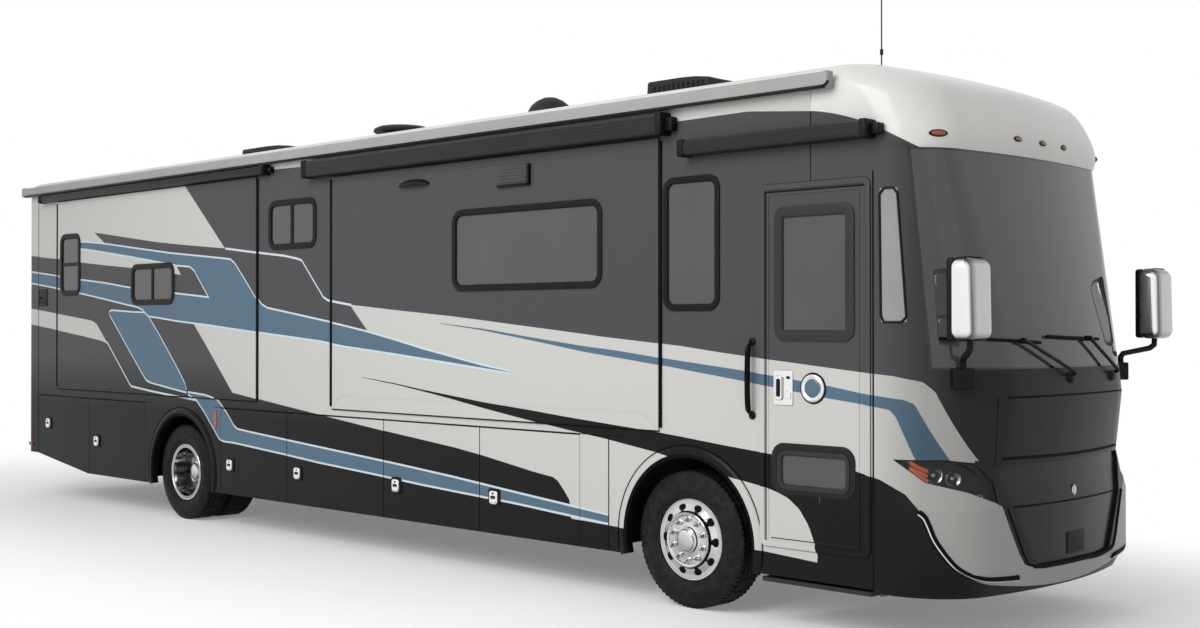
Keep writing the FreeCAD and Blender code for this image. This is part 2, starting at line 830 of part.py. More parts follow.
def bay_run(seams, floor_z):
    """Floor, inner wall and bulkheads of one run of baggage bays on the right, each a plain board."""
    outer_y = half_width - wall_t - bay_gap
    ceiling = seam_z - deck_t
    pieces = [box(seams[0], seams[-1], -outer_y, -bay_inner_y, floor_z - sheet, floor_z)]
    pieces.append(box(seams[0], seams[-1], -bay_inner_y - sheet, -bay_inner_y, floor_z, ceiling))
    for i, seam in enumerate(seams):
        x0 = seam if i == 0 else seam - sheet
        pieces.append(box(x0, x0 + sheet, -outer_y, -bay_inner_y - sheet, floor_z, ceiling))
    return pieces


def baggage_bays():
    bays = bay_run(tail_seams, tail_bay_floor_z) + bay_run(mid_seams, bay_floor_z)
    return bays + [mirrored(board) for board in bays]


def chassis_frame():
    """Two rails, the cross-members between them, the posts under the floor and the hitch receiver."""
    t = rail_half_w
    x0 = tail_x + rail_from_tail
    cross_z0 = rail_z0 + cross_up
    cross_z1 = rail_z1 - cross_down
    pieces = []
    for s in (-1, 1):
        y0 = s * rail_y - t
        pieces.append(box(x0, ahead(rail_nose_s), y0, y0 + 2 * t, rail_z0, rail_z1))
        pieces += [box(x, x + cross_w, y0, y0 + 2 * t, rail_z1, seam_z - deck_t) for x in cross_stations]
    for x in cross_stations:
        pieces.append(box(x, x + cross_w, -rail_y + t, rail_y - t, cross_z0, cross_z1))
    half = socket_half + socket_wall
    z0 = socket_z - half
    z1 = socket_z + half
    socket = box(tail_x, x0 + cross_w + cross_in, -half, half, z0, z1)
    hollow = socket_half
    inside = box(tail_x - past, tail_x + socket_depth, -hollow, hollow, socket_z - hollow, socket_z + hollow)
    pin_hole = cross_rod(tail_x + hitch_pin_from_tail, -2 * half, 2 * half, socket_z, hitch_pin_r)
    pieces.append(socket.cut([inside, pin_hole]))
    pieces.append(box(x0 + cross_in, x0 + cross_in + cross_w, -half, half, z1, rail_z0 + cross_up))
    return pieces


def engine_block():
    """Engine, gearbox, mounting feet and the shaft to the axle, each a plain solid against the next."""
    x0 = tail_x + engine_from_tail
    x1 = x0 + engine_length
    x2 = x1 + gearbox_length
    feet_y = rail_y - rail_half_w
    pieces = [box(x0, x1, -engine_half_w, engine_half_w, engine_z0, engine_z1)]
    pieces.append(box(x1, x2, -gearbox_half_w, gearbox_half_w, engine_z0, gearbox_z1))
    for x in (x0 + engine_foot_in, x1 - engine_foot_in - engine_foot_w):
        foot = box(x, x + engine_foot_w, -feet_y, -engine_half_w, engine_foot_z0, engine_foot_z1)
        pieces += both_sides(foot)
    reach = rear_axle_x - pinion_reach - x2
    pieces.append(Part.makeCylinder(shaft_r, reach, V(x2, 0, shaft_z), V(1, 0, 0)))
    return pieces


def spring_seats(axle_x):
    """The plates on an axle that its air springs stand on."""
    x0 = axle_x - spring_plate_half_l
    x1 = axle_x + spring_plate_half_l
    half = spring_plate_half_w
    z0 = spring_z - spring_plate_t
    return [box(x0, x1, s * rail_y - half, s * rail_y + half, z0, spring_z) for s in (-1, 1)]


def air_springs(axle_x):
    stations = (axle_x - spring_spread, axle_x + spring_spread)
    return [upright_rod(x, s * rail_y, spring_z, rail_z0, spring_r) for x in stations for s in (-1, 1)]


def front_axle():
    x = front_axle_x
    y = kingpin_y
    pieces = [box(x - beam_half_w, x + beam_half_w, -y, y, beam_z0, beam_z1)] + spring_seats(x)
    pieces += [upright_rod(x, s * y, boss_z0, boss_z1, boss_r) for s in (-1, 1)]
    over = beam_half_w + past
    corner = box(x - over, x + over, y, y + 2 * boss_r, beam_z0 - past, beam_z1 + past)
    corner = corner.cut(upright_rod(x, y, boss_z0, boss_z1, boss_r))
    bores = [upright_rod(x, s * y, boss_z0 - past, boss_z1 + past, kingpin_r + fit) for s in (-1, 1)]
    beam = fused(pieces).cut(both_sides(corner) + bores)
    return [beam] + air_springs(x)


def rear_axle():
    x = rear_axle_x
    spindle_end = wheel_y - dual_spacing / 2 + rear_spindle_reach
    pieces = [cross_rod(x, -axle_tube_half, axle_tube_half, tyre_r, axle_tube_r)]
    pieces.append(cross_rod(x, -spindle_end, spindle_end, tyre_r, spindle_r))
    pieces.append(cross_rod(x, -final_drive_half, final_drive_half, tyre_r, final_drive_r))
    y = pinion_half
    pieces.append(box(x - pinion_reach, x - final_drive_r / 2, -y, y, shaft_z - y, shaft_z + y))
    return [fused(pieces + spring_seats(x))] + air_springs(x)


def knuckle():
    """The left knuckle: yoke, kingpin and spindle."""
    x = front_axle_x
    a = yoke_half_w
    y0 = kingpin_y - yoke_back
    y1 = kingpin_y + yoke_front
    pieces = [box(x - a, x + a, y1 - yoke_t, y1, yoke_z0, yoke_z1)]
    for z0, z1 in ((yoke_z0, boss_z0 - boss_gap), (boss_z1 + boss_gap, yoke_z1)):
        pieces.append(box(x - a, x + a, y0, y1, z0, z1))
    pieces.append(upright_rod(x, kingpin_y, yoke_z0, yoke_z1, kingpin_r))
    pieces.append(cross_rod(x, y1 - yoke_t / 2, wheel_y + front_spindle_reach, tyre_r, spindle_r))
    return fused(pieces)


# ---- wheels: (y, radius) outlines about the wheel's middle plane, outboard is +y ----
def tyre(y):
    half = tyre_w / 2
    side = [(bead_y, rim_r)] + [(half - a, r) for a, r in tyre_side]
    profile = side + [(-a, r) for a, r in reversed(side)]
    return turned(profile, 0, y, 0)


def front_rim():
    seat = rim_r - fit
    bore = spindle_r + fit
    hub_r = front_hub_r
    back, inner, disc_y, face_y, end_y, cap_y = front_rim_y
    profile = (
        (-rim_edge_y, lip_r), (-rim_edge_y, well_r), (inner, well_r), (disc_y, disc_r), (disc_y, hub_r),
        (back, hub_r), (back, bore), (end_y, bore), (end_y, 0), (cap_y, 0), (cap_y, hub_r), (face_y, hub_r),
        (face_y, disc_r + disc_step), (rim_edge_y, well_r),
        (rim_edge_y, lip_r), (lip_y, lip_r), (lip_y, seat), (-lip_y, seat), (-lip_y, lip_r),
    )
    return turned(profile, 0, 0, 0).cut(hand_holes(back, cap_y))


def hand_holes(y0, y1):
    holes = []
    for i in range(hand_hole_count):
        angle = 2 * math.pi * i / hand_hole_count
        x = hand_hole_circle_r * math.cos(angle)
        z = hand_hole_circle_r * math.sin(angle)
        holes.append(cross_rod(x, y0, y1, z, hand_hole_r))
    return holes


def dual_rims():
    """Both rims of a twin wheel about the plane where their discs meet."""
    seat = rim_r - fit
    bore = spindle_r + fit
    off = dual_spacing / 2
    hub_r = rear_hub_r
    disc_y, flare_y = dual_disc_y
    profile = (
        (0, hub_r - hub_lap), (0, disc_r + disc_step), (off - rim_edge_y, well_r), (off - rim_edge_y, lip_r),
        (off - lip_y, lip_r), (off - lip_y, seat), (off + lip_y, seat), (off + lip_y, lip_r),
        (off + rim_edge_y, lip_r), (off + rim_edge_y, well_r), (flare_y, well_r), (disc_y, disc_r),
        (disc_y, hub_r - hub_lap),
    )
    outer = turned(profile, 0, 0, 0).cut(hand_holes(-past, flare_y + past))
    back, end, cap = rear_hub_y
    hub = turned(((back, bore), (back, hub_r), (cap, hub_r), (cap, 0), (end, 0), (end, bore)), 0, 0, 0)
    return fused([outer, mirrored(outer), hub])


def placed(shape, x, y):
    copy = shape.copy()
    copy.translate(V(x, y, tyre_r))
    return copy


# ---- things on the body ----
def cassette(x0, x1, z0, z1, reach):
    case = box(x0, x1, -half_width - reach, -half_width - fit, z0, z1)
    front = []
    for e in case.Edges:
        if abs(e.tangentAt(e.FirstParameter).x) > 0.99 and e.CenterOfMass.y < -half_width - reach + past:
            front.append(e)
    return case.makeFillet(cassette_round, front)


def awning_cassettes():
    return [cassette(*c) for c in right_cassettes] + [mirrored(cassette(*c)) for c in left_cassettes]


def roof_awning():
    x0 = tail_x + awning_from_tail
    return [cassette(x0, ahead(awning_front_s), wall_top, awning_case_top, awning_case_reach)]


def roof_equipment():
    """Two air conditioners, an aerial dome and a vent, standing on the roof."""
    z = roof_top + fit
    units = [box(x0, x1, -unit_half_w, unit_half_w, z, top) for x0, x1, top in roof_units]
    for x, r0, r1, height in roof_domes:
        units.append(Part.makeCone(r0, r1, height, V(x, roof_dome_y, z), V(0, 0, 1)))
    return units


def antenna():
    x, y = antenna_place
    foot_r, whip_r, coil_r = antenna_radii
    foot = upright_rod(x, y, antenna_foot_z, antenna_foot_top, foot_r)
    whip = upright_rod(x, y, antenna_foot_top, antenna_top, whip_r)
    coil = upright_rod(x, y, antenna_coil[0], antenna_coil[1], coil_r)
    return [fused([foot, whip, coil])]


def tube_run(points, radius, bend):
    """A round bar through the points, its corners rounded by arcs of radius bend."""
    edges = []
    start = points[0]
    for before, corner, after in zip(points, points[1:], points[2:]):
        back = (before - corner).normalize()
        on = (after - corner).normalize()
        half = back.getAngle(on) / 2
        reach = bend / math.tan(half)
        middle = corner + (back + on).normalize() * (bend / math.sin(half) - bend)
        edges.append(Part.makeLine(start, corner + back * reach))
        edges.append(Part.Arc(corner + back * reach, middle, corner + on * reach).toShape())
        start = corner + on * reach
    edges.append(Part.makeLine(start, points[-1]))
    ring = Part.Wire(Part.makeCircle(radius, points[0], points[1] - points[0]))
    return Part.Wire(edges).makePipeShell([ring], True, False)


def mirrors():
    """Heads on swept arms; each arm's foot stands just off the skin."""
    x1 = ahead(nose_overhang)
    x0 = x1 - mirror_head_depth
    y0 = half_width - mirror_head_in
    y1 = y0 + mirror_head_w
    z0, z1 = mirror_head_z
    head = box(x0, x1, -y1, -y0, z0, z1)
    upright = [e for e in head.Edges if abs(e.tangentAt(e.FirstParameter).z) > 0.99]
    head = head.makeFillet(mirror_round, upright)
    foot_y = mirror_foot_in - half_width
    foot = skin_point(foot_y, mirror_foot_z)
    out = skin_normal(foot_y, mirror_foot_z)
    flange = Part.makeCylinder(mirror_foot_r, mirror_stand_off + mirror_arm_r, foot + out * fit, out)
    start = foot + out * mirror_stand_off
    head_x, head_y = (x0 + x1) / 2, (y0 + y1) / 2
    elbow = V(head_x - mirror_elbow_back, mirror_elbow_in - head_y, z0 - mirror_elbow_down)
    end = V(head_x, -head_y, z0 + mirror_arm_in)
    points = [start, start + V(0, 0, mirror_rise), elbow, end]
    return both_sides(fused([head, flange, tube_run(points, mirror_arm_r, mirror_arm_bend)]))


def wipers():
    """Shafts and arms; the blades lie on the glass beyond them."""
    arms = []
    for y, tip_y in wiper_pivots:
        foot = skin_point(y, wiper_pivot_z)
        out = skin_normal(y, wiper_pivot_z)
        tip = skin_point(tip_y, wiper_tip_z) + skin_normal(tip_y, wiper_tip_z) * wiper_tip_off
        points = [foot + out * fit, foot + out * wiper_stand_off, tip]
        arms.append(tube_run(points, wiper_arm_r, wiper_arm_bend))
    return arms


def grab_handle():
    x = ahead(handle_s)
    y = -half_width
    z0, z1 = handle_z
    out = y - handle_reach
    points = [V(x, y, z0), V(x, out, z0 + handle_slope), V(x, out, z1 - handle_slope), V(x, y, z1)]
    bar = tube_run(points, handle_r, handle_bend)
    big = well_past
    return [bar.cut(box(x - big, x + big, y, y + big, z0 - big, z1 + big))]


def fuel_tank():
    half = half_width - tank_in
    return [box(mid_seams[-1] + tank_gap, ahead(tank_front_s), -half, half, tank_z0, rail_z0)]


def dashboard():
    """The desk, and before it a post with the steering column and a wheel that doesn't turn."""
    rear = desk_outline[0][0]
    desk_half_w = half_width - desk_in
    desk = prism([V(ahead(s), -desk_half_w, z) for s, z in desk_outline], V(0, 2 * desk_half_w, 0))
    hub = V(ahead(wheel_hub_s), driver_y, wheel_hub_z)
    slope = math.radians(column_slope)
    down = V(math.sin(slope), 0, -math.cos(slope))
    ring = Part.makeTorus(steering_r, steering_rim_r, hub, down)
    column = Part.makeCylinder(column_r, column_length, hub, down)
    spoke = cross_rod(hub.x, driver_y - steering_r, driver_y + steering_r, hub.z, spoke_r)
    length, half, top = column_post
    post = box(ahead(rear - length), ahead(rear), driver_y - half, driver_y + half, seam_z, top)
    return [desk, fused([ring, column, spoke, post])]


def seat(x, y):
    """Pedestal, cushion and backrest, each against the next."""
    rear, split, front = seat_x
    half, back_half = seat_half_w
    low = seat_z - cushion_t
    post = upright_rod(x, y, seam_z, low, seat_post_r)
    cushion = box(x - split, x + front, y - half, y + half, low, seat_z)
    back = box(x - rear, x - split, y - back_half, y + back_half, seat_z - seat_back_down, seat_back_top)
    return [post, cushion, back]


def front_seats():
    return [piece for s, y in seat_places for piece in seat(ahead(s), y)]


def export(name, solids):
    Part.makeCompound(solids).exportStep("parts/" + name + ".step")
    print(name, len(solids), [s.isValid() for s in solids], round(sum(s.Volume for s in solids) / 1e9, 4))


# node name and the function that makes its solids
ROOT_NODES = {
    "chassis_frame": chassis_frame,
    "engine_block": engine_block,
    "fuel_tank": fuel_tank,
    "front_axle": front_axle,
    "rear_axle": rear_axle,
    "floor_deck": floor_deck,
    "baggage_bays": baggage_bays,
    "right_wall": right_wall,
    "left_wall": left_wall,
    "roof_panel": roof_panel,
    "roof_cap": roof_cap,
    "rear_cap": rear_cap,
    "front_mask": front_mask,
    "hood_panel": hood_panel,
    "grille_panel": grille_panel,
    "front_bumper": front_bumper,
    "headlights": headlights,
    "tail_lights": tail_lights,
    "windshield": windshield,
    "side_glass": side_glass,
    "awning_cassettes": awning_cassettes,
    "roof_awning": roof_awning,
    "roof_equipment": roof_equipment,
    "antenna": antenna,
    "mirrors": mirrors,
    "wipers": wipers,
    "grab_handle": grab_handle,
    "dashboard": dashboard,
    "front_seats": front_seats,
    "engine_door": engine_door,
    "entry_door": entry_door,
    "entry_door_glass": entry_door_glass,
    "entry_step": entry_step,
}


def main():
    os.makedirs("parts", exist_ok=True)
    for name, make in ROOT_NODES.items():
        export(name, make())
    for i, span in enumerate(right_doors):
        export("right_baggage_door_" + str(i + 1), [baggage_door(span)])
    for i, span in enumerate(left_doors):
        export("left_baggage_door_" + str(i + 1), [mirrored(baggage_door(span))])
    export("bedroom_slide", [slide_room(bedroom_slide, bedroom_windows)])
    export("bedroom_slide_glass", slide_glass(bedroom_windows))
    export("right_living_slide", [slide_room(living_slide, living_windows)])
    export("right_living_slide_glass", slide_glass(living_windows))
    export("left_living_slide", [mirrored(slide_room(living_slide, living_windows))])
    export("left_living_slide_glass", [mirrored(p) for p in slide_glass(living_windows)])
    front_tyre = placed(tyre(0), front_axle_x, wheel_y)
    rim = placed(front_rim(), front_axle_x, wheel_y)
    twin_tyres = [placed(tyre(0), rear_axle_x, y) for y in (wheel_y, inner_dual_y)]
    twin_rims = placed(dual_rims(), rear_axle_x, wheel_y - dual_spacing / 2)
    for side, turn in (("left", lambda s: s), ("right", mirrored)):
        export(side + "_front_tyre", [turn(front_tyre)])
        export(side + "_front_rim", [turn(rim)])
        export(side + "_rear_tyres", [turn(t) for t in twin_tyres])
        export(side + "_rear_rims", [turn(twin_rims)])
        export(side + "_knuckle", [turn(knuckle())])


main()
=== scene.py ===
import json
import math

import bmesh
import bpy
from bpy.props import FloatProperty, FloatVectorProperty, IntProperty, PointerProperty
from bpy.types import Operator, Panel, PropertyGroup
from mathutils import Matrix, Vector

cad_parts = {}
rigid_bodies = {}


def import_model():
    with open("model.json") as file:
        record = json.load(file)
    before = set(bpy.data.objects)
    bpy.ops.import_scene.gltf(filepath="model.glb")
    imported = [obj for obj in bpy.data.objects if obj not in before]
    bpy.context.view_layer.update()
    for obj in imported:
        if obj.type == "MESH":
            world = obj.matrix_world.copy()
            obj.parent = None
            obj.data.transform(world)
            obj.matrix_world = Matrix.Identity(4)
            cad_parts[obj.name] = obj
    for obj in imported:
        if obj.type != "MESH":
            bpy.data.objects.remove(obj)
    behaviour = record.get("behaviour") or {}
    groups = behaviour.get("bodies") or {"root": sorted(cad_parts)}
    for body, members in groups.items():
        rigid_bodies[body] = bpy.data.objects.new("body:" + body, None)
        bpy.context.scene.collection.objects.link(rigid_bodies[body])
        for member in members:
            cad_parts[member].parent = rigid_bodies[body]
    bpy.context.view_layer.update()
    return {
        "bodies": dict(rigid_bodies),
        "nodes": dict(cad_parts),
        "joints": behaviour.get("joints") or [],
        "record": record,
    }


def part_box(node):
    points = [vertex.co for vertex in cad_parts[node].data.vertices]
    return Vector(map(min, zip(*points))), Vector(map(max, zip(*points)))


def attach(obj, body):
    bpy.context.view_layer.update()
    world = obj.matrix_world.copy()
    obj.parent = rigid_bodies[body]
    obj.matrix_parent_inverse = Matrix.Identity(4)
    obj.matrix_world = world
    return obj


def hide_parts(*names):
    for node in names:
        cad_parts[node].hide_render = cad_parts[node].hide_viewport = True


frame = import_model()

bl_info = {
    "name": "Motorhome Finish",
    "version": (1, 0, 0),
    "blender": (4, 5, 0),
    "location": "3D View > Sidebar > Motorhome",
    "description": "Paint, trim, wheels, glass and fittings for a diesel motorhome's frame",
    "category": "Object",
}

nodes = frame["nodes"]
coach_side = -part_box("right_wall")[0].y
front_tyre_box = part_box("right_front_tyre")
rear_tyre_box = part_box("right_rear_tyres")
tyre_radius = (front_tyre_box[1].z - front_tyre_box[0].z) / 2
front_axle_x = (front_tyre_box[0].x + front_tyre_box[1].x) / 2
rear_axle_x = (rear_tyre_box[0].x + rear_tyre_box[1].x) / 2
tyre_face = -front_tyre_box[0].y
tyre_width = front_tyre_box[1].y - front_tyre_box[0].y
tail_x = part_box("rear_cap")[0].x
hood_base, hood_top = (corner.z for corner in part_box("hood_panel"))
wheel_middle = tyre_face - tyre_width / 2
dual_spacing = 0.340
arch_ahead = 0.028
sunk = -0.001
SIDES = (("right", -1), ("left", 1))


def linear(code):
    """Linear colour of a six-figure screen colour."""
    parts = [int(code[i:i + 2], 16) / 255 for i in (0, 2, 4)]
    return tuple(c / 12.92 if c <= 0.04045 else ((c + 0.055) / 1.055) ** 2.4 for c in parts)


# ---------------------------------------------------------------- settings
def paint_colour(name, text, code):
    return FloatVectorProperty(name=name, description=text, subtype="COLOR", size=3, min=0, max=1,
                               default=linear(code))


def length(name, text, default, least):
    return FloatProperty(name=name, description=text, unit="LENGTH", default=default, min=least)


def power(name, text, default):
    return FloatProperty(name=name, description=text, unit="POWER", default=default, min=0)


class MotorhomePaint(PropertyGroup):
    """Colours of the body and its bands."""
    charcoal: paint_colour("Charcoal", "Upper body colour", "474749")
    skirt: paint_colour("Skirt", "Lower body colour", "141415")
    silver: paint_colour("Silver", "Light bands, roof cap and bumper", "bcbcb9")
    blue: paint_colour("Blue", "Blue bands", "52697b")
    front: paint_colour("Front dark", "Dark colour of the front below the windshield", "242426")
    pinstripe: paint_colour("Pinstripe", "Thin lines round the bands", "c2ccd2")
    pinstripe_width: length("Pinstripe width", "Width of the thin lines", 0.018, 0.0)


class MotorhomeTrim(PropertyGroup):
    """Sizes of frames, latches and lamps."""
    frame_proud: length("Frame depth", "How far window frames stand off the wall", 0.012, 0.002)
    latch_size: length("Latch size", "Height and width of a baggage latch", 0.150, 0.02)
    seal_width: length("Seal width", "Width of the rubber seal beside a slide-out", 0.026, 0.004)
    lamp_length: length("Marker lamp length", "Length of a roof marker lamp", 0.085, 0.02)


class MotorhomeWheels(PropertyGroup):
    """Sizes of tyres and wheel fittings."""
    tread_depth: length("Tread depth", "Depth of the tyre grooves", 0.007, 0.001)
    tread_blocks: IntProperty(name="Tread blocks", description="Blocks round one tyre shoulder", default=72, min=12)
    lug_count: IntProperty(name="Lug covers", description="Chrome covers on each wheel", default=10, min=4)
    lug_circle: length("Lug circle radius", "Radius that the lug covers stand on", 0.152, 0.05)
    hole_count: IntProperty(name="Hand holes", description="Dark openings round each rim", default=10, min=4)
    hole_circle: length("Hand hole circle radius", "Radius that the hand holes lie on", 0.236, 0.05)


class MotorhomeStage(PropertyGroup):
    """Floor, lamps and camera."""
    floor_size: length("Floor size", "Width of the studio floor", 160.0, 20.0)
    sky: FloatProperty(name="Sky light", description="Strength of the soft light all round", default=0.56, min=0)
    key: power("Key lamp", "Power of the large lamp over the near side", 1350.0)
    fill: power("Fill lamp", "Power of the lamp before the front", 25.0)


# ---------------------------------------------------------------- material building
def add(tree, kind, *inputs, **settings):
    """A shader node with its inputs in order; a socket is linked and a plain value is set."""
    made = tree.nodes.new("ShaderNode" + kind)
    for name, value in settings.items():
        setattr(made, name, value)
    for i, value in enumerate(inputs):
        if isinstance(value, bpy.types.NodeSocket):
            tree.links.new(value, made.inputs[i])
        elif value is not None:
            made.inputs[i].default_value = value
    return made


def sums(tree, operation, a, b=None, c=None):
    return add(tree, "Math", a, b, c, operation=operation).outputs[0]


def mix(tree, share, under, over):
    """The over colour laid on the under colour by share."""
    made = add(tree, "Mix", data_type="RGBA")
    for i, value in ((0, share), (6, under), (7, over)):
        if isinstance(value, bpy.types.NodeSocket):
            tree.links.new(value, made.inputs[i])
        elif i == 0:
            made.inputs[i].default_value = value
        else:
            made.inputs[i].default_value = (*value, 1.0)
    return made.outputs[2]


def noise(tree, where, scale, detail=4.0):
    return add(tree, "TexNoise", where, None, scale, detail).outputs["Fac"]


def ramp(tree, value, low, high, to_low, to_high):
    return add(tree, "MapRange", value, low, high, to_low, to_high).outputs[0]


def new_material(name, roughness=0.4, metallic=0.0, coat=0.0, coat_roughness=0.05, alpha=1.0, ior=1.5, shine=0.25):
    """A material, its tree, its shader and the object's own coordinates."""
    material = bpy.data.materials.new(name)
    material.use_nodes = True
    tree = material.node_tree
    shader = tree.nodes["Principled BSDF"]
    for socket, value in (("Roughness", roughness), ("Metallic", metallic), ("Coat Weight", coat),
                          ("Coat Roughness", coat_roughness), ("Alpha", alpha), ("IOR", ior),
                          ("Specular IOR Level", shine)):
        shader.inputs[socket].default_value = value
    return material, tree, shader, add(tree, "TexCoord").outputs["Object"]


def bumped(tree, shader, height, distance, socket="Normal"):
    bump = add(tree, "Bump")
    bump.inputs["Distance"].default_value = distance
    tree.links.new(height, bump.inputs["Height"])
    tree.links.new(bump.outputs[0], shader.inputs[socket])


def surface_detail(tree, shader, where, roughness, spread, grain, depth):
    """Roughness that wanders and a fine bump, both from one grain."""
    fine = noise(tree, where, grain, 5.0)
    tree.links.new(ramp(tree, fine, 0.3, 0.7, max(roughness - spread, 0.01), roughness + spread),
                   shader.inputs["Roughness"])
    bumped(tree, shader, fine, depth)


def finish(name, code, roughness=0.4, metallic=0.0, coat=0.0, mottle=2.0, variation=0.06,
           grain=300.0, depth=0.0002, spread=0.05, stretch=None, alpha=1.0, shine=0.25):
    """A plain finish with slow colour changes, a fine grain and a wandering gloss."""
    material, tree, shader, where = new_material(
        name, roughness, metallic, coat, alpha=alpha, shine=0.5 if metallic else shine)
    if stretch:
        where = add(tree, "Mapping", where, None, None, stretch).outputs[0]
    colour = linear(code)
    slow = noise(tree, where, mottle, 3.0)
    low = tuple(c * (1 - variation) for c in colour)
    high = tuple(min(c * (1 + variation), 1) for c in colour)
    tree.links.new(mix(tree, ramp(tree, slow, 0.3, 0.7, 0, 1), low, high), shader.inputs["Base Color"])
    surface_detail(tree, shader, where, roughness, spread, grain, depth)
    return material


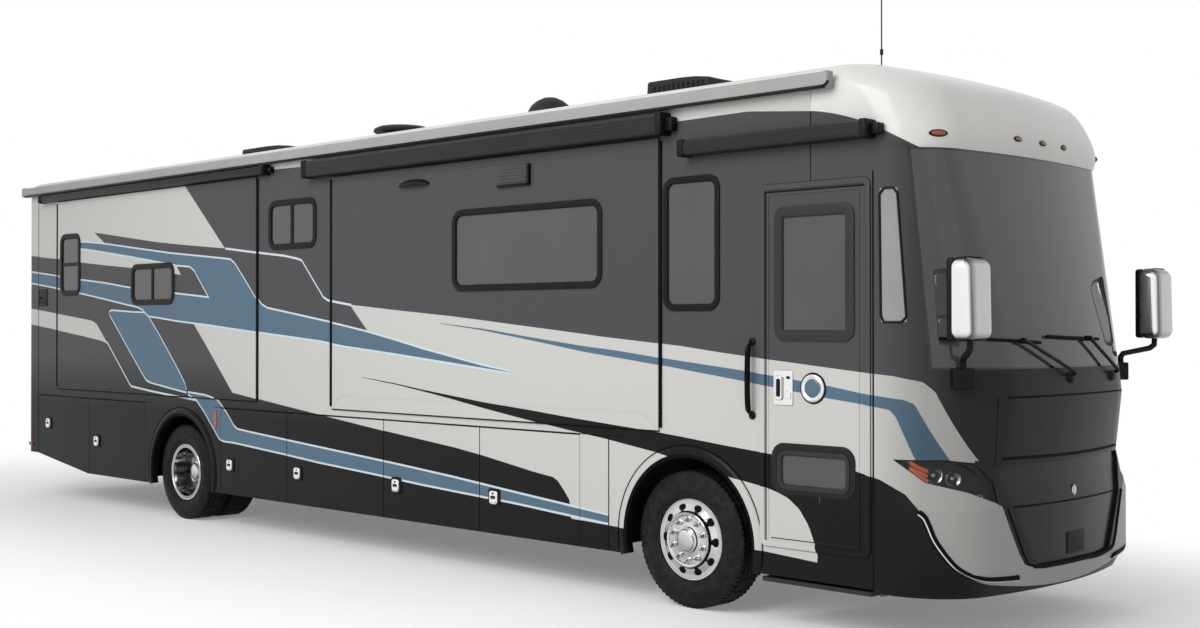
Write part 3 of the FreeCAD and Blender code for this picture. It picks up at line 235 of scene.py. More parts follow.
# Painted bands: colour, upper edge, lower edge, True for a pinstripe round it.
# Edges are (x, z) points in metres along the side, in the order that they are painted.
BANDS = (
    ("silver",
     ((-6.80, 3.80), (-3.10, 3.80), (-2.98, 3.69), (-2.83, 3.56), (-2.06, 2.89)),
     ((-6.80, 2.985), (-6.20, 2.93), (-5.80, 2.90), (-5.20, 2.84), (-4.60, 2.79), (-4.00, 2.745),
      (-3.10, 2.66), (-2.95, 2.64), (-2.93, 2.87), (-2.06, 2.80)), False),
    ("silver",
     ((-6.80, 3.80), (5.42, 3.80)),
     ((-6.80, 3.665), (-1.35, 3.655), (-0.53, 3.64), (4.00, 3.63), (4.21, 3.612), (4.85, 3.618), (5.42, 3.563)),
     False),
    ("charcoal",
     ((-4.92, 3.185), (-4.60, 3.15), (-4.10, 3.09), (-3.50, 3.02), (-2.90, 2.965), (-2.05, 2.895)),
     ((-4.92, 3.18), (-4.80, 3.12), (-4.68, 3.055), (-4.00, 2.975), (-3.20, 2.89), (-2.05, 2.78)), False),
    ("charcoal",
     ((-3.06, 2.76), (-2.93, 2.75)), ((-3.06, 2.755), (-2.93, 2.62)), False),
    ("silver",
     ((-6.80, 2.325), (-6.00, 2.25), (-5.40, 2.195), (-5.00, 2.155), (-4.92, 2.135), (-4.85, 2.10), (-4.62, 1.905)),
     ((-6.80, 2.125), (-6.20, 2.07), (-5.50, 2.00), (-5.20, 1.97), (-4.80, 1.925), (-4.62, 1.895)), False),
    ("silver",
     ((-2.70, 2.13), (-1.60, 2.06), (0.00, 1.93), (0.62, 1.88)),
     ((-2.70, 2.125), (-2.45, 1.90), (-2.02, 1.50), (-1.92, 1.405), (-1.60, 1.37), (-1.00, 1.305),
      (0.00, 1.20), (0.62, 1.135)), False),
    ("silver",
     ((0.12, 2.29), (0.80, 2.235), (1.60, 2.175), (2.00, 2.14), (2.60, 2.085), (3.20, 2.03)),
     ((0.12, 2.285), (0.42, 2.02), (0.58, 1.88), (0.60, 1.14), (1.60, 1.045), (2.00, 0.995), (2.60, 0.905),
      (2.84, 0.877), (2.90, 0.85), (2.97, 0.78), (3.04, 0.70), (3.055, 0.56), (3.20, 0.558)), False),
    ("silver",
     ((3.20, 2.03), (3.40, 2.01), (4.20, 1.945), (4.60, 1.90), (5.00, 1.86), (5.80, 1.785), (6.05, 1.765),
      (6.246, 1.729), (6.319, 1.665), (6.509, 1.213), (6.53, 1.187), (6.80, 1.187)),
     ((3.20, 0.558), (3.65, 0.54), (4.90, 0.515), (5.46, 0.48), (5.475, 1.155), (5.76, 1.125), (5.957, 1.08),
      (6.146, 1.00), (6.27, 0.88), (6.33, 0.75), (6.40, 0.60), (6.48, 0.50), (6.56, 0.41), (6.62, 0.34),
      (6.80, 0.30)), False),
    ("skirt",
     ((0.30, 1.62), (0.80, 1.575), (1.20, 1.53), (1.60, 1.49), (2.00, 1.45), (2.60, 1.405), (3.00, 1.37),
      (3.80, 1.31), (4.20, 1.275), (4.60, 1.235), (5.00, 1.20), (5.47, 1.155)),
     ((0.30, 1.615), (0.80, 1.565), (1.20, 1.515), (1.60, 1.46), (2.00, 1.40), (2.40, 1.345), (3.00, 1.265),
      (3.40, 1.22), (3.80, 1.165), (4.05, 1.13), (4.50, 1.04), (4.80, 0.99), (5.00, 0.96), (5.10, 0.935),
      (5.20, 0.90), (5.30, 0.83), (5.38, 0.72), (5.43, 0.60), (5.47, 0.47)), False),
    ("blue",
     ((-5.30, 3.085), (-5.00, 3.065), (-4.60, 3.03), (-4.00, 2.965), (-3.20, 2.88), (-2.38, 2.81)),
     ((-5.30, 3.02), (-5.00, 2.99), (-4.60, 2.945), (-4.00, 2.875), (-3.40, 2.80), (-3.05, 2.755),
      (-2.77, 2.735), (-2.68, 2.69), (-2.38, 2.395)), True),
    ("blue",
     ((-6.80, 2.775), (-6.20, 2.72), (-5.30, 2.635), (-4.70, 2.585), (-4.10, 2.52), (-3.10, 2.44), (-2.38, 2.385)),
     ((-6.80, 2.65), (-6.20, 2.59), (-5.30, 2.49), (-4.70, 2.415), (-4.10, 2.335), (-3.92, 2.315), (-3.78, 2.28),
      (-3.68, 2.21), (-3.50, 2.195), (-3.00, 2.15), (-2.38, 2.108)), True),
    ("blue",
     ((-2.38, 2.81), (-2.10, 2.785), (-1.96, 2.772), (-1.88, 2.73), (-1.70, 2.57), (-1.50, 2.38), (-1.40, 2.30),
      (-1.30, 2.265), (-1.00, 2.225), (-0.40, 2.145), (0.00, 2.09), (0.40, 2.03), (0.80, 1.96), (1.20, 1.885),
      (1.60, 1.82), (2.00, 1.755), (2.36, 1.71)),
     ((-2.38, 2.108), (-1.60, 2.045), (-1.00, 2.00), (-0.40, 1.955), (0.00, 1.91), (0.80, 1.845), (1.60, 1.775),
      (2.36, 1.706)), True),
    ("blue",
     ((-4.56, 2.245), (-4.50, 2.265), (-4.00, 2.24), (-3.74, 2.235), (-3.64, 2.18), (-3.40, 1.975),
      (-3.00, 1.605), (-2.86, 1.46), (-2.83, 1.40)),
     ((-4.56, 2.24), (-4.54, 2.215), (-4.20, 1.92), (-3.80, 1.575), (-3.70, 1.495), (-3.60, 1.47),
      (-3.20, 1.425), (-2.83, 1.385)), True),
    ("blue",
     ((-2.80, 1.375), (-2.45, 1.355), (-2.30, 1.33), (-2.20, 1.29), (-2.05, 1.18), (-1.92, 1.06), (-1.85, 1.025),
      (-1.60, 1.005), (-0.80, 0.95), (0.00, 0.895), (0.80, 0.84), (1.60, 0.78), (2.40, 0.71), (3.47, 0.62)),
     ((-2.80, 1.37), (-2.66, 1.31), (-2.50, 1.19), (-2.30, 1.01), (-2.20, 0.92), (-2.12, 0.90), (-1.90, 0.895),
      (-1.00, 0.835), (-0.40, 0.79), (0.40, 0.745), (1.20, 0.695), (2.00, 0.655), (2.40, 0.635), (3.47, 0.565)),
      True),
    ("blue",
     ((1.45, 2.115), (2.00, 2.07), (2.60, 2.00), (3.20, 1.935), (3.60, 1.90), (4.00, 1.855), (4.80, 1.775),
      (5.55, 1.685), (5.80, 1.646), (6.129, 1.61), (6.197, 1.586), (6.382, 1.227), (6.40, 1.19)),
     ((1.45, 2.11), (2.00, 2.055), (2.60, 1.975), (3.20, 1.89), (3.60, 1.845), (4.00, 1.80), (4.80, 1.70),
      (5.55, 1.60), (5.80, 1.573), (6.029, 1.542), (6.078, 1.491), (6.194, 1.229), (6.21, 1.19), (6.40, 1.18)),
      False),
)
# Single pinstripes, by their points
LINES = (
    ((-4.64, 1.905), (-4.60, 1.895), (-4.10, 1.455), (-4.04, 1.41), (-3.60, 1.37), (-2.65, 1.30)),
    ((-2.06, 2.895), (-1.50, 2.835), (-1.00, 2.785), (-0.78, 2.75), (-0.70, 2.73), (-0.34, 2.37), (-0.26, 2.335),
     (-0.20, 2.33), (0.14, 2.287)),
)
# Half width of the dark centre of the bumper at each height
CENTRE_PANEL = ((0.50, 0.40), (0.507, 0.58), (0.53, 0.65), (0.60, 0.70), (0.75, 0.78), (0.925, 0.865),
                (0.94, 0.90), (1.20, 1.00), (1.22, 1.00))
paint_height = 4.0


def edge_curve(tree, share, x0, x1, points, span=paint_height):
    """Height of a painted edge, as a share of span, where share runs from x0 to x1."""
    made = add(tree, "FloatCurve", 1.0, share)
    curve = made.mapping.curves[0]
    spots = [((x - x0) / (x1 - x0), z / span) for x, z in points]
    curve.points[0].location = spots[0]
    curve.points[1].location = spots[-1]
    for spot in spots[1:-1]:
        curve.points.new(*spot)
    for point in curve.points:
        point.handle_type = "VECTOR"
    made.mapping.update()
    return made.outputs[0]


def between(tree, value, low, high):
    return sums(tree, "MULTIPLY", sums(tree, "GREATER_THAN", value, low), sums(tree, "LESS_THAN", value, high))


def livery_material(name, paint, inside_code):
    """The body paint with all its bands outside, and one plain colour on edges and inner faces."""
    material, tree, shader, where = new_material(name, 0.32, coat=0.04, coat_roughness=0.03, shine=0.08)
    place = add(tree, "SeparateXYZ", where)
    x, y, z = place.outputs
    height = sums(tree, "MULTIPLY", z, 1 / paint_height)
    colour = mix(tree, ramp(tree, z, 1.15, 1.75, 0, 1), paint.skirt, paint.charcoal)
    low_front = mix(tree, ramp(tree, z, 0.80, 1.05, 0, 1), paint.skirt, paint.front)
    colour = mix(tree, ramp(tree, x, 5.95, 6.45, 0, 1), colour, low_front)
    line = paint.pinstripe_width / paint_height
    # Painted shade: the light colours are darkened round the front's corner, where it faces away from the lamps
    corner = ramp(tree, x, 5.80, 6.25, 0, 1)
    front_shaded_paint = {}
    for kind in ("silver", "blue", "charcoal", "skirt", "front"):
        plain = tuple(getattr(paint, kind))
        # painted shade: silver and blue fall to 0.62 of their colour round the corner
        deep = 0.62 if kind in ("silver", "blue") else 1.0
        front_shaded_paint[kind] = mix(tree, corner, plain, tuple(c * deep for c in plain))
    for kind, upper, lower, pinstripe in BANDS:
        x0, x1 = upper[0][0], upper[-1][0]
        share = ramp(tree, x, x0, x1, 0, 1)
        here = between(tree, x, x0, x1)
        top = edge_curve(tree, share, x0, x1, upper)
        low = edge_curve(tree, share, x0, x1, lower)
        if pinstripe:
            wide = between(tree, height, sums(tree, "SUBTRACT", low, line), sums(tree, "ADD", top, line))
            colour = mix(tree, sums(tree, "MULTIPLY", here, wide), colour, paint.pinstripe)
        inside = sums(tree, "MULTIPLY", here, between(tree, height, low, top))
        colour = mix(tree, inside, colour, front_shaded_paint[kind])
    for points in LINES:
        x0, x1 = points[0][0], points[-1][0]
        mid = edge_curve(tree, ramp(tree, x, x0, x1, 0, 1), x0, x1, points)
        off = sums(tree, "ABSOLUTE", sums(tree, "SUBTRACT", height, mid))
        inside = sums(tree, "MULTIPLY", between(tree, x, x0, x1), sums(tree, "LESS_THAN", off, line / 1.7))
        colour = mix(tree, inside, colour, paint.pinstripe)
    z0, z1 = CENTRE_PANEL[0][0], CENTRE_PANEL[-1][0]
    limit = edge_curve(tree, ramp(tree, z, z0, z1, 0, 1), z0, z1, CENTRE_PANEL, 1.0)
    off_centre = sums(tree, "ABSOLUTE", y)
    centre = sums(tree, "MULTIPLY", between(tree, z, z0, z1), sums(tree, "LESS_THAN", off_centre, limit))
    centre = sums(tree, "MULTIPLY", centre, sums(tree, "GREATER_THAN", x, 6.2))
    colour = mix(tree, centre, colour, paint.front)
    # Flake in the colour
    flake = noise(tree, where, 900.0, 2.0)
    colour = mix(tree, ramp(tree, flake, 0.55, 0.75, 0, 0.02), colour, (0.55, 0.56, 0.58))
    # Outside faces only
    facing = add(tree, "SeparateXYZ", add(tree, "NewGeometry").outputs["True Normal"]).outputs[0]
    ahead = sums(tree, "GREATER_THAN", sums(tree, "MULTIPLY", facing, x), -0.5)
    ends = sums(tree, "MULTIPLY", sums(tree, "GREATER_THAN", sums(tree, "ABSOLUTE", x), 5.9), ahead)
    outside = sums(tree, "MAXIMUM", sums(tree, "GREATER_THAN", off_centre, coach_side - 0.001), ends)
    colour = mix(tree, outside, linear(inside_code), colour)
    tree.links.new(colour, shader.inputs["Base Color"])
    bumped(tree, shader, noise(tree, where, 14.0, 2.0), 0.0004, "Coat Normal")
    tree.links.new(ramp(tree, flake, 0.3, 0.7, 0.27, 0.37), shader.inputs["Roughness"])
    return material


def glass_material(name, code, clear, border=None):
    """Tinted glass with faint ripple; border is a black printed edge: low and high z, and half width at each."""
    material, tree, shader, where = new_material(name, 0.04, ior=1.52, shine=0.5)
    place = add(tree, "SeparateXYZ", where).outputs
    slow = noise(tree, where, 1.2, 2.0)
    base = linear(code)
    colour = mix(tree, ramp(tree, slow, 0.3, 0.7, 0, 1), tuple(c * 0.92 for c in base), tuple(c * 1.08 for c in base))
    see = clear
    if border:
        low, high, side_low, side_high = border
        limit = ramp(tree, place[2], low, high, side_low, side_high)
        edge = sums(tree, "MAXIMUM", sums(tree, "GREATER_THAN", sums(tree, "ABSOLUTE", place[1]), limit),
                    sums(tree, "MAXIMUM", sums(tree, "LESS_THAN", place[2], low + 0.014),
                         sums(tree, "GREATER_THAN", place[2], high - 0.014)))
        colour = mix(tree, edge, colour, (0.008, 0.008, 0.009))
        see = sums(tree, "MULTIPLY", sums(tree, "SUBTRACT", 1.0, edge), clear)
        tree.links.new(see, shader.inputs["Transmission Weight"])
    else:
        shader.inputs["Transmission Weight"].default_value = clear
    tree.links.new(colour, shader.inputs["Base Color"])
    bumped(tree, shader, noise(tree, where, 5.0, 2.0), 0.0006)
    return material


def tyre_material():
    """Rubber with dusty tread and fine rings on its sidewall."""
    material, tree, shader, where = new_material("tyre_rubber", 0.62, shine=0.12)
    dust = noise(tree, where, 18.0, 6.0)
    colour = mix(tree, ramp(tree, dust, 0.45, 0.75, 0, 1), (0.008, 0.008, 0.0085), (0.020, 0.0195, 0.019))
    tree.links.new(colour, shader.inputs["Base Color"])
    surface_detail(tree, shader, where, 0.58, 0.08, 260.0, 0.0004)
    return material


def leather_material(name, code):
    material, tree, shader, where = new_material(name, 0.5)
    cells = add(tree, "TexVoronoi", where, None, 260.0, feature="DISTANCE_TO_EDGE").outputs["Distance"]
    base = linear(code)
    wear = noise(tree, where, 7.0, 5.0)
    colour = mix(tree, ramp(tree, wear, 0.35, 0.75, 0, 1), base, tuple(min(c * 1.35, 1) for c in base))
    tree.links.new(colour, shader.inputs["Base Color"])
    tree.links.new(ramp(tree, wear, 0.3, 0.7, 0.42, 0.6), shader.inputs["Roughness"])
    bumped(tree, shader, ramp(tree, cells, 0.0, 0.12, 0, 1), 0.0006)
    return material


def wood_material(name, code):
    material, tree, shader, where = new_material(name, 0.4)
    long = add(tree, "Mapping", where, None, None, (0.12, 1.0, 1.0)).outputs[0]
    rings = add(tree, "TexWave", long, 9.0, 6.0, 3.0, bands_direction="Y").outputs["Fac"]
    base = linear(code)
    tree.links.new(mix(tree, rings, tuple(c * 0.7 for c in base), base), shader.inputs["Base Color"])
    surface_detail(tree, shader, long, 0.4, 0.08, 120.0, 0.0003)
    return material


def lens_material(name, code, glow=0.0):
    """A moulded lamp lens with fine vertical flutes."""
    material, tree, shader, where = new_material(name, 0.12, coat=0.6)
    flutes = add(tree, "TexWave", where, 46.0, 0.0, bands_direction="Z").outputs["Fac"]
    base = linear(code)
    tree.links.new(mix(tree, flutes, tuple(c * 0.55 for c in base), base), shader.inputs["Base Color"])
    bumped(tree, shader, flutes, 0.001)
    shader.inputs["Transmission Weight"].default_value = glow
    return material


# Painted reflection: how bright the metal's colour is made, by the way its face looks: across the coach, and up (or
# round the wheel)
DEEP_ROUND = ((-1.0, 0.15), (-0.86, 0.95), (-0.72, 0.10), (-0.56, 0.85), (-0.40, 0.06), (-0.22, 1.0), (-0.05, 0.20),
              (0.10, 0.90), (0.24, 0.08), (0.42, 0.98), (0.60, 0.12), (0.78, 1.0), (0.90, 0.25), (1.0, 0.80))
CHROME_ACROSS = ((-1.0, 0.95), (-0.86, 0.98), (-0.66, 0.10), (-0.48, 0.30), (-0.1, 0.52), (0.1, 0.52), (0.48, 0.30),
                 (0.66, 0.10), (0.86, 0.98), (1.0, 0.95))
CHROME_UP = ((-1.0, 0.30), (-0.7, 0.45), (-0.25, 0.90), (0.0, 1.0), (0.45, 0.95), (0.75, 0.25), (1.0, 0.55))
WHEEL_ACROSS = ((-1.0, 0.92), (-0.93, 0.85), (-0.80, 0.25), (-0.62, 0.95), (-0.35, 0.35), (0.0, 0.80), (0.35, 0.35),
                (0.62, 0.95), (0.80, 0.25), (0.93, 0.85), (1.0, 0.92))
WHEEL_ROUND = ((-1.0, 0.35), (-0.72, 0.55), (-0.55, 0.08), (-0.38, 0.75), (-0.15, 0.50), (0.0, 0.66), (0.22, 0.95),
               (0.45, 0.30), (0.62, 1.0), (0.85, 0.55), (1.0, 0.95))


def chrome_material(name, roughness, across, up, along=0.0):
    """Bright metal whose colour is shaded by the way that each face looks: a painted reflection of a studio."""
    material, tree, shader, where = new_material(name, roughness, 1.0, shine=0.5)
    way = add(tree, "SeparateXYZ", add(tree, "NewGeometry").outputs["Normal"]).outputs
    side_share = ramp(tree, way[1], -1, 1, 0, 1)
    lean = sums(tree, "ADD", sums(tree, "MULTIPLY", way[0], along),
                sums(tree, "MULTIPLY", way[2], 1.0 - along * 0.26))
    up_share = ramp(tree, lean, -1, 1, 0, 1)
    shade = sums(tree, "MULTIPLY", edge_curve(tree, side_share, -1, 1, across, 1.0),
                 edge_curve(tree, up_share, -1, 1, up, 1.0))
    # painted reflection: the colour runs from near black to near white by the face's direction
    tree.links.new(mix(tree, shade, (0.012, 0.012, 0.013), (0.90, 0.90, 0.915)), shader.inputs["Base Color"])
    surface_detail(tree, shader, where, roughness, 0.04, 50.0, 0.0001)
    return material


def seen_rays(tree):
    """1 for rays from the camera and through mirrors and glass, 0 for the rest."""
    rays = add(tree, "LightPath")
    return sums(tree, "MAXIMUM", rays.outputs["Is Camera Ray"],
                sums(tree, "MAXIMUM", rays.outputs["Is Glossy Ray"], rays.outputs["Is Transmission Ray"]))


finishes = {}


def make_finishes(paint):
    finishes.update(
        body=livery_material("coach_paint", paint, "202022"),
        room=livery_material("slide_paint", paint, "8f8f8d"),
        cap=finish("cap_silver", "cfcfcc", 0.3, coat=0.2, grain=900.0, depth=0.00003, variation=0.03),
        roof=finish("roof_membrane", "d2d2ce", 0.55, grain=180.0, depth=0.0006, variation=0.05),
        case=finish("awning_case", "969694", 0.45, coat=0.0, grain=500.0, variation=0.04),
        cassette=finish("cassette_black", "222223", 0.42, shine=0.2, grain=500.0, variation=0.1),
        dark_panel=finish("dark_panel", "1c1c1e", 0.3, coat=0.06, shine=0.15, grain=900.0, depth=0.00003,
                          variation=0.05),
        door_frame=finish("door_frame", "303032", 0.38, shine=0.15, grain=600.0, variation=0.05),
        window=glass_material("tinted_glass", "4e4e50", 0.25),
        screen=glass_material("windshield_glass", "4c4c4e", 0.35, (1.81, 3.26, 1.19, 1.213)),
        black=finish("black_plastic", "0c0c0d", 0.45, shine=0.15, grain=700.0, depth=0.0003, variation=0.15),
        rubber=finish("seal_rubber", "070708", 0.7, shine=0.08, grain=400.0, depth=0.0004, variation=0.2),
        chrome=chrome_material("chrome", 0.10, CHROME_ACROSS, CHROME_UP),
        rim=chrome_material("wheel_chrome", 0.16, WHEEL_ACROSS, WHEEL_ROUND, 0.5),
        deep_rim=chrome_material("deep_chrome", 0.13, WHEEL_ACROSS, DEEP_ROUND, 0.5),
        unit=finish("unit_plastic", "1d1d1e", 0.55, shine=0.2, grain=260.0, depth=0.0005, variation=0.12),
        steel=finish("frame_steel", "1c1c1d", 0.55, grain=120.0, depth=0.0005, variation=0.25, mottle=6.0),
        engine=finish("engine_metal", "6b6b69", 0.5, 0.7, grain=90.0, depth=0.0008, variation=0.2, mottle=8.0),
        tank=finish("tank_steel", "8c8c8c", 0.35, 0.9, grain=200.0, stretch=(0.05, 1, 1), variation=0.12),
        iron=finish("axle_iron", "333230", 0.6, 0.5, grain=110.0, depth=0.0009, variation=0.3, mottle=9.0),
        floor=wood_material("floor_board", "9a7a58"),
        liner=finish("bay_liner", "3a3a3a", 0.8, grain=350.0, depth=0.0008, variation=0.2),
        step=finish("step_black", "1c1c1d", 0.5, 0.3, grain=300.0, stretch=(0.1, 1, 1), variation=0.2),
        leather=leather_material("seat_leather", "6d6358"),
        dash=finish("dash_vinyl", "2c2a28", 0.6, grain=420.0, depth=0.0006, variation=0.12),
        tyre=tyre_material(),
        blue=finish("blue_inlay", "4a6272", 0.3, coat=0.25, grain=900.0, depth=0.00003),
        red=lens_material("red_lens", "b01414", 0.2),
        amber=lens_material("amber_lens", "a4502a", 0.1),
        clear=finish("clear_lens", "3c3e42", 0.05, grain=30.0, depth=0.0001, alpha=0.34),
        cab_glass=finish("cab_glass", "8a8a8c", 0.06, shine=0.5, grain=12.0, depth=0.00005, mottle=0.8,
                         variation=0.12),
        mirror=finish("mirror_glass", "c2c6ca", 0.03, 1.0, grain=10.0, depth=0.00002, spread=0.01),
    )


# CAD node name (or its ending) and the finish that it gets
NODE_FINISHES = (
    ("_wall", "body"), ("_door_", "body"), ("engine_door", "body"), ("entry_door", "body"), ("front_mask", "body"),
    ("hood_panel", "body"), ("front_bumper", "body"), ("rear_cap", "body"), ("_slide", "room"),
    ("grille_panel", "dark_panel"), ("roof_cap", "cap"), ("roof_panel", "roof"), ("roof_awning", "case"),
    ("awning_cassettes", "cassette"), ("windshield", "screen"), ("_glass", "window"), ("headlights", "clear"),
    ("tail_lights", "red"), ("chassis_frame", "steel"), ("engine_block", "engine"), ("fuel_tank", "tank"),
    ("_axle", "iron"), ("_knuckle", "iron"), ("floor_deck", "floor"), ("baggage_bays", "liner"),
    ("roof_equipment", "unit"), ("antenna", "black"), ("mirrors", "black"), ("wipers", "black"),
    ("grab_handle", "black"), ("dashboard", "dash"), ("front_seats", "leather"), ("entry_step", "step"),
    ("_tyre", "tyre"), ("_tyres", "tyre"), ("_rim", "rim"), ("_rims", "deep_rim"),
)


# ---------------------------------------------------------------- mesh building
def gather(*parts):
    """One bmesh from several; the parts are freed."""
    whole = bmesh.new()
    for part in parts:
        step = bpy.data.meshes.new("part")
        part.to_mesh(step)
        part.free()
        whole.from_mesh(step)
        bpy.data.meshes.remove(step)
    return whole


def make_piece(name, body, finish_name, *parts, slot=None, sharp=35.0):
    """A finished piece in the frame, riding on a body."""
    whole = gather(*parts)
    bmesh.ops.recalc_face_normals(whole, faces=whole.faces[:])
    mesh = bpy.data.meshes.new(name)
    whole.to_mesh(mesh)
    whole.free()
    mesh.materials.append(finishes[finish_name])
    mesh.shade_smooth()
    mesh.set_sharp_from_angle(angle=math.radians(sharp))
    piece = bpy.data.objects.new(name, mesh)
    bpy.context.scene.collection.objects.link(piece)
    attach(piece, body)
    return piece


def flipped(part):
    """The same part on the other side of the coach."""
    bmesh.ops.scale(part, vec=(1, -1, 1), verts=part.verts[:])
    bmesh.ops.reverse_faces(part, faces=part.faces[:])
    return part


def moved(part, x=0.0, y=0.0, z=0.0):
    bmesh.ops.translate(part, vec=(x, y, z), verts=part.verts[:])
    return part


def turned(part, angle, axis, centre=(0, 0, 0)):
    bmesh.ops.rotate(part, cent=centre, matrix=Matrix.Rotation(math.radians(angle), 3, axis), verts=part.verts[:])
    return part


def thicken(part, depth, soften):
    """Extrude flat faces by depth along -Y and soften the outer front edges."""
    made = bmesh.ops.extrude_face_region(part, geom=part.faces[:], use_keep_orig=True)
    front = [e for e in made["geom"] if isinstance(e, bmesh.types.BMVert)]
    bmesh.ops.translate(part, vec=(0, -depth, 0), verts=front)
    bmesh.ops.recalc_face_normals(part, faces=part.faces[:])
    if soften:
        kept = set(front)
        rim = []
        for edge in part.edges:
            if edge.verts[0] in kept and edge.verts[1] in kept and len(edge.link_faces) == 2:
                if abs(edge.link_faces[0].normal.y - edge.link_faces[1].normal.y) > 0.5:
                    rim.append(edge)
        bmesh.ops.bevel(part, geom=rim, offset=soften, segments=3, profile=0.5, affect="EDGES", material=-1)
    return part


def side_plate(x0, x1, z0, z1, radius, off, depth, soften=0.0, ring=None):
    """A rounded plate on the right-hand side, its back off metres from the wall face; ring leaves a frame."""
    part = bmesh.new()
    bmesh.ops.create_grid(part, x_segments=1, y_segments=1, size=0.5)
    bmesh.ops.scale(part, vec=(x1 - x0, z1 - z0, 1), verts=part.verts[:])
    turned(part, 90, "X")
    moved(part, (x0 + x1) / 2, -coach_side - off, (z0 + z1) / 2)
    if radius:
        bmesh.ops.bevel(part, geom=part.verts[:], offset=radius, segments=7, profile=0.5,
                        affect="VERTICES", material=-1)
    if ring:
        part.faces.ensure_lookup_table()
        inner = part.faces[0]
        bmesh.ops.inset_region(part, faces=[inner], thickness=ring, use_even_offset=True, use_boundary=True)
        bmesh.ops.delete(part, geom=[inner], context="FACES_ONLY")
    return thicken(part, depth, soften)


def plates(*rows):
    """One side plate for each row of sizes."""
    return [side_plate(*row) for row in rows]


def block(x0, x1, y0, y1, z0, z1, soften=0.0, segments=3):
    part = bmesh.new()
    bmesh.ops.create_cube(part, size=1.0)
    bmesh.ops.scale(part, vec=(x1 - x0, y1 - y0, z1 - z0), verts=part.verts[:])
    moved(part, (x0 + x1) / 2, (y0 + y1) / 2, (z0 + z1) / 2)
    if soften:
        bmesh.ops.bevel(part, geom=part.edges[:], offset=soften, segments=segments, profile=0.5,
                        affect="EDGES", material=-1)
    return part


def lathe(profile, steps, centre=(0, 0, 0), angle=360.0, start=0.0):
    """Spin (y, radius) points about the Y line through centre; start and angle in degrees from +X down."""
    part = bmesh.new()
    verts = [part.verts.new((r, y, 0)) for y, r in profile]
    edges = [part.edges.new(pair) for pair in zip(verts, verts[1:])]
    whole = angle >= 360.0
    bmesh.ops.spin(part, geom=verts + edges, cent=(0, 0, 0), axis=(0, 1, 0), angle=math.radians(angle),
                   steps=steps, use_merge=whole, use_duplicate=False)
    bmesh.ops.remove_doubles(part, verts=part.verts[:], dist=1e-5)
    turned(part, start, "Y")
    return moved(part, *centre)


def rod(points, radius, smooth=False, sides=3):
    """A round bar along points."""
    data = bpy.data.curves.new("rod", "CURVE")
    data.dimensions = "3D"
    data.bevel_depth = radius
    data.bevel_resolution = sides
    data.use_fill_caps = True
    line = data.splines.new("NURBS" if smooth else "POLY")
    line.points.add(len(points) - 1)
    for spot, point in zip(line.points, points):
        spot.co = (*point, 1.0)
    if smooth:
        line.order_u = 3
        line.use_endpoint_u = True
    holder = bpy.data.objects.new("rod", data)
    bpy.context.scene.collection.objects.link(holder)
    solid = bpy.data.meshes.new_from_object(holder.evaluated_get(bpy.context.evaluated_depsgraph_get()))
    bpy.data.objects.remove(holder)
    part = bmesh.new()
    part.from_mesh(solid)
    bpy.data.meshes.remove(solid)
    return part


def on_skin(node, point, off=0.0):
    """The nearest place on a CAD node's surface, lifted off it, and the way out there."""
    found, spot, out, _ = nodes[node].closest_point_on_mesh(Vector(point))
    if not found:
        raise RuntimeError("no surface near " + node)
    return spot + out * off, out


def skin_line(node, points, off, radius, smooth=True):
    return rod([on_skin(node, p, off)[0] for p in points], radius, smooth)


def sided(side, *parts):
    """Right-hand parts as they are for side -1, turned over to the left for side 1."""
    return [flipped(part) for part in parts] if side > 0 else list(parts)


def ball(half_x, half_y, half_z):
    part = bmesh.new()
    bmesh.ops.create_uvsphere(part, u_segments=24, v_segments=12, radius=1.0)
    bmesh.ops.scale(part, vec=(half_x, half_y, half_z), verts=part.verts[:])
    return part


def smoothed(part, factor):
    """Two rounds of smoothing over every point."""
    for _ in range(2):
        bmesh.ops.smooth_vert(part, verts=part.verts[:], factor=factor, use_axis_x=True, use_axis_y=True,
                              use_axis_z=True)


def both(maker):
    """A part from maker on the right and its twin on the left."""
    return [maker(), flipped(maker())]


swell_frames = 20


def swell(pads, voxel, pressure, cap):
    """Blow padded covers up as cloth, no point moving further than cap, and leave them as plain meshes."""
    scene = bpy.context.scene
    starts = []
    for pad in pads:
        remesh = pad.modifiers.new("remesh", "REMESH")
        remesh.mode = "VOXEL"
        remesh.voxel_size = voxel
        bake(pad)
        starts.append([vert.co.copy() for vert in pad.data.vertices])
        cloth = pad.modifiers.new("cloth", "CLOTH")
        cloth.settings.quality = 6
        cloth.settings.mass = 0.4
        cloth.settings.use_pressure = True
        cloth.settings.uniform_pressure_force = pressure
        cloth.settings.effector_weights.gravity = 0.0
        cloth.point_cache.frame_start = 1
        cloth.point_cache.frame_end = swell_frames
    for frame in range(1, swell_frames + 1):
        scene.frame_set(frame)
    for pad, start in zip(pads, starts):
        bake(pad)
        for vert, before in zip(pad.data.vertices, start):
            move = vert.co - before
            if move.length > cap:
                vert.co = before + move * (cap / move.length)
        shape = bmesh.new()
        shape.from_mesh(pad.data)
        smoothed(shape, 0.5)
        shape.to_mesh(pad.data)
        shape.free()
        pad.data.shade_smooth()
    scene.frame_set(1)


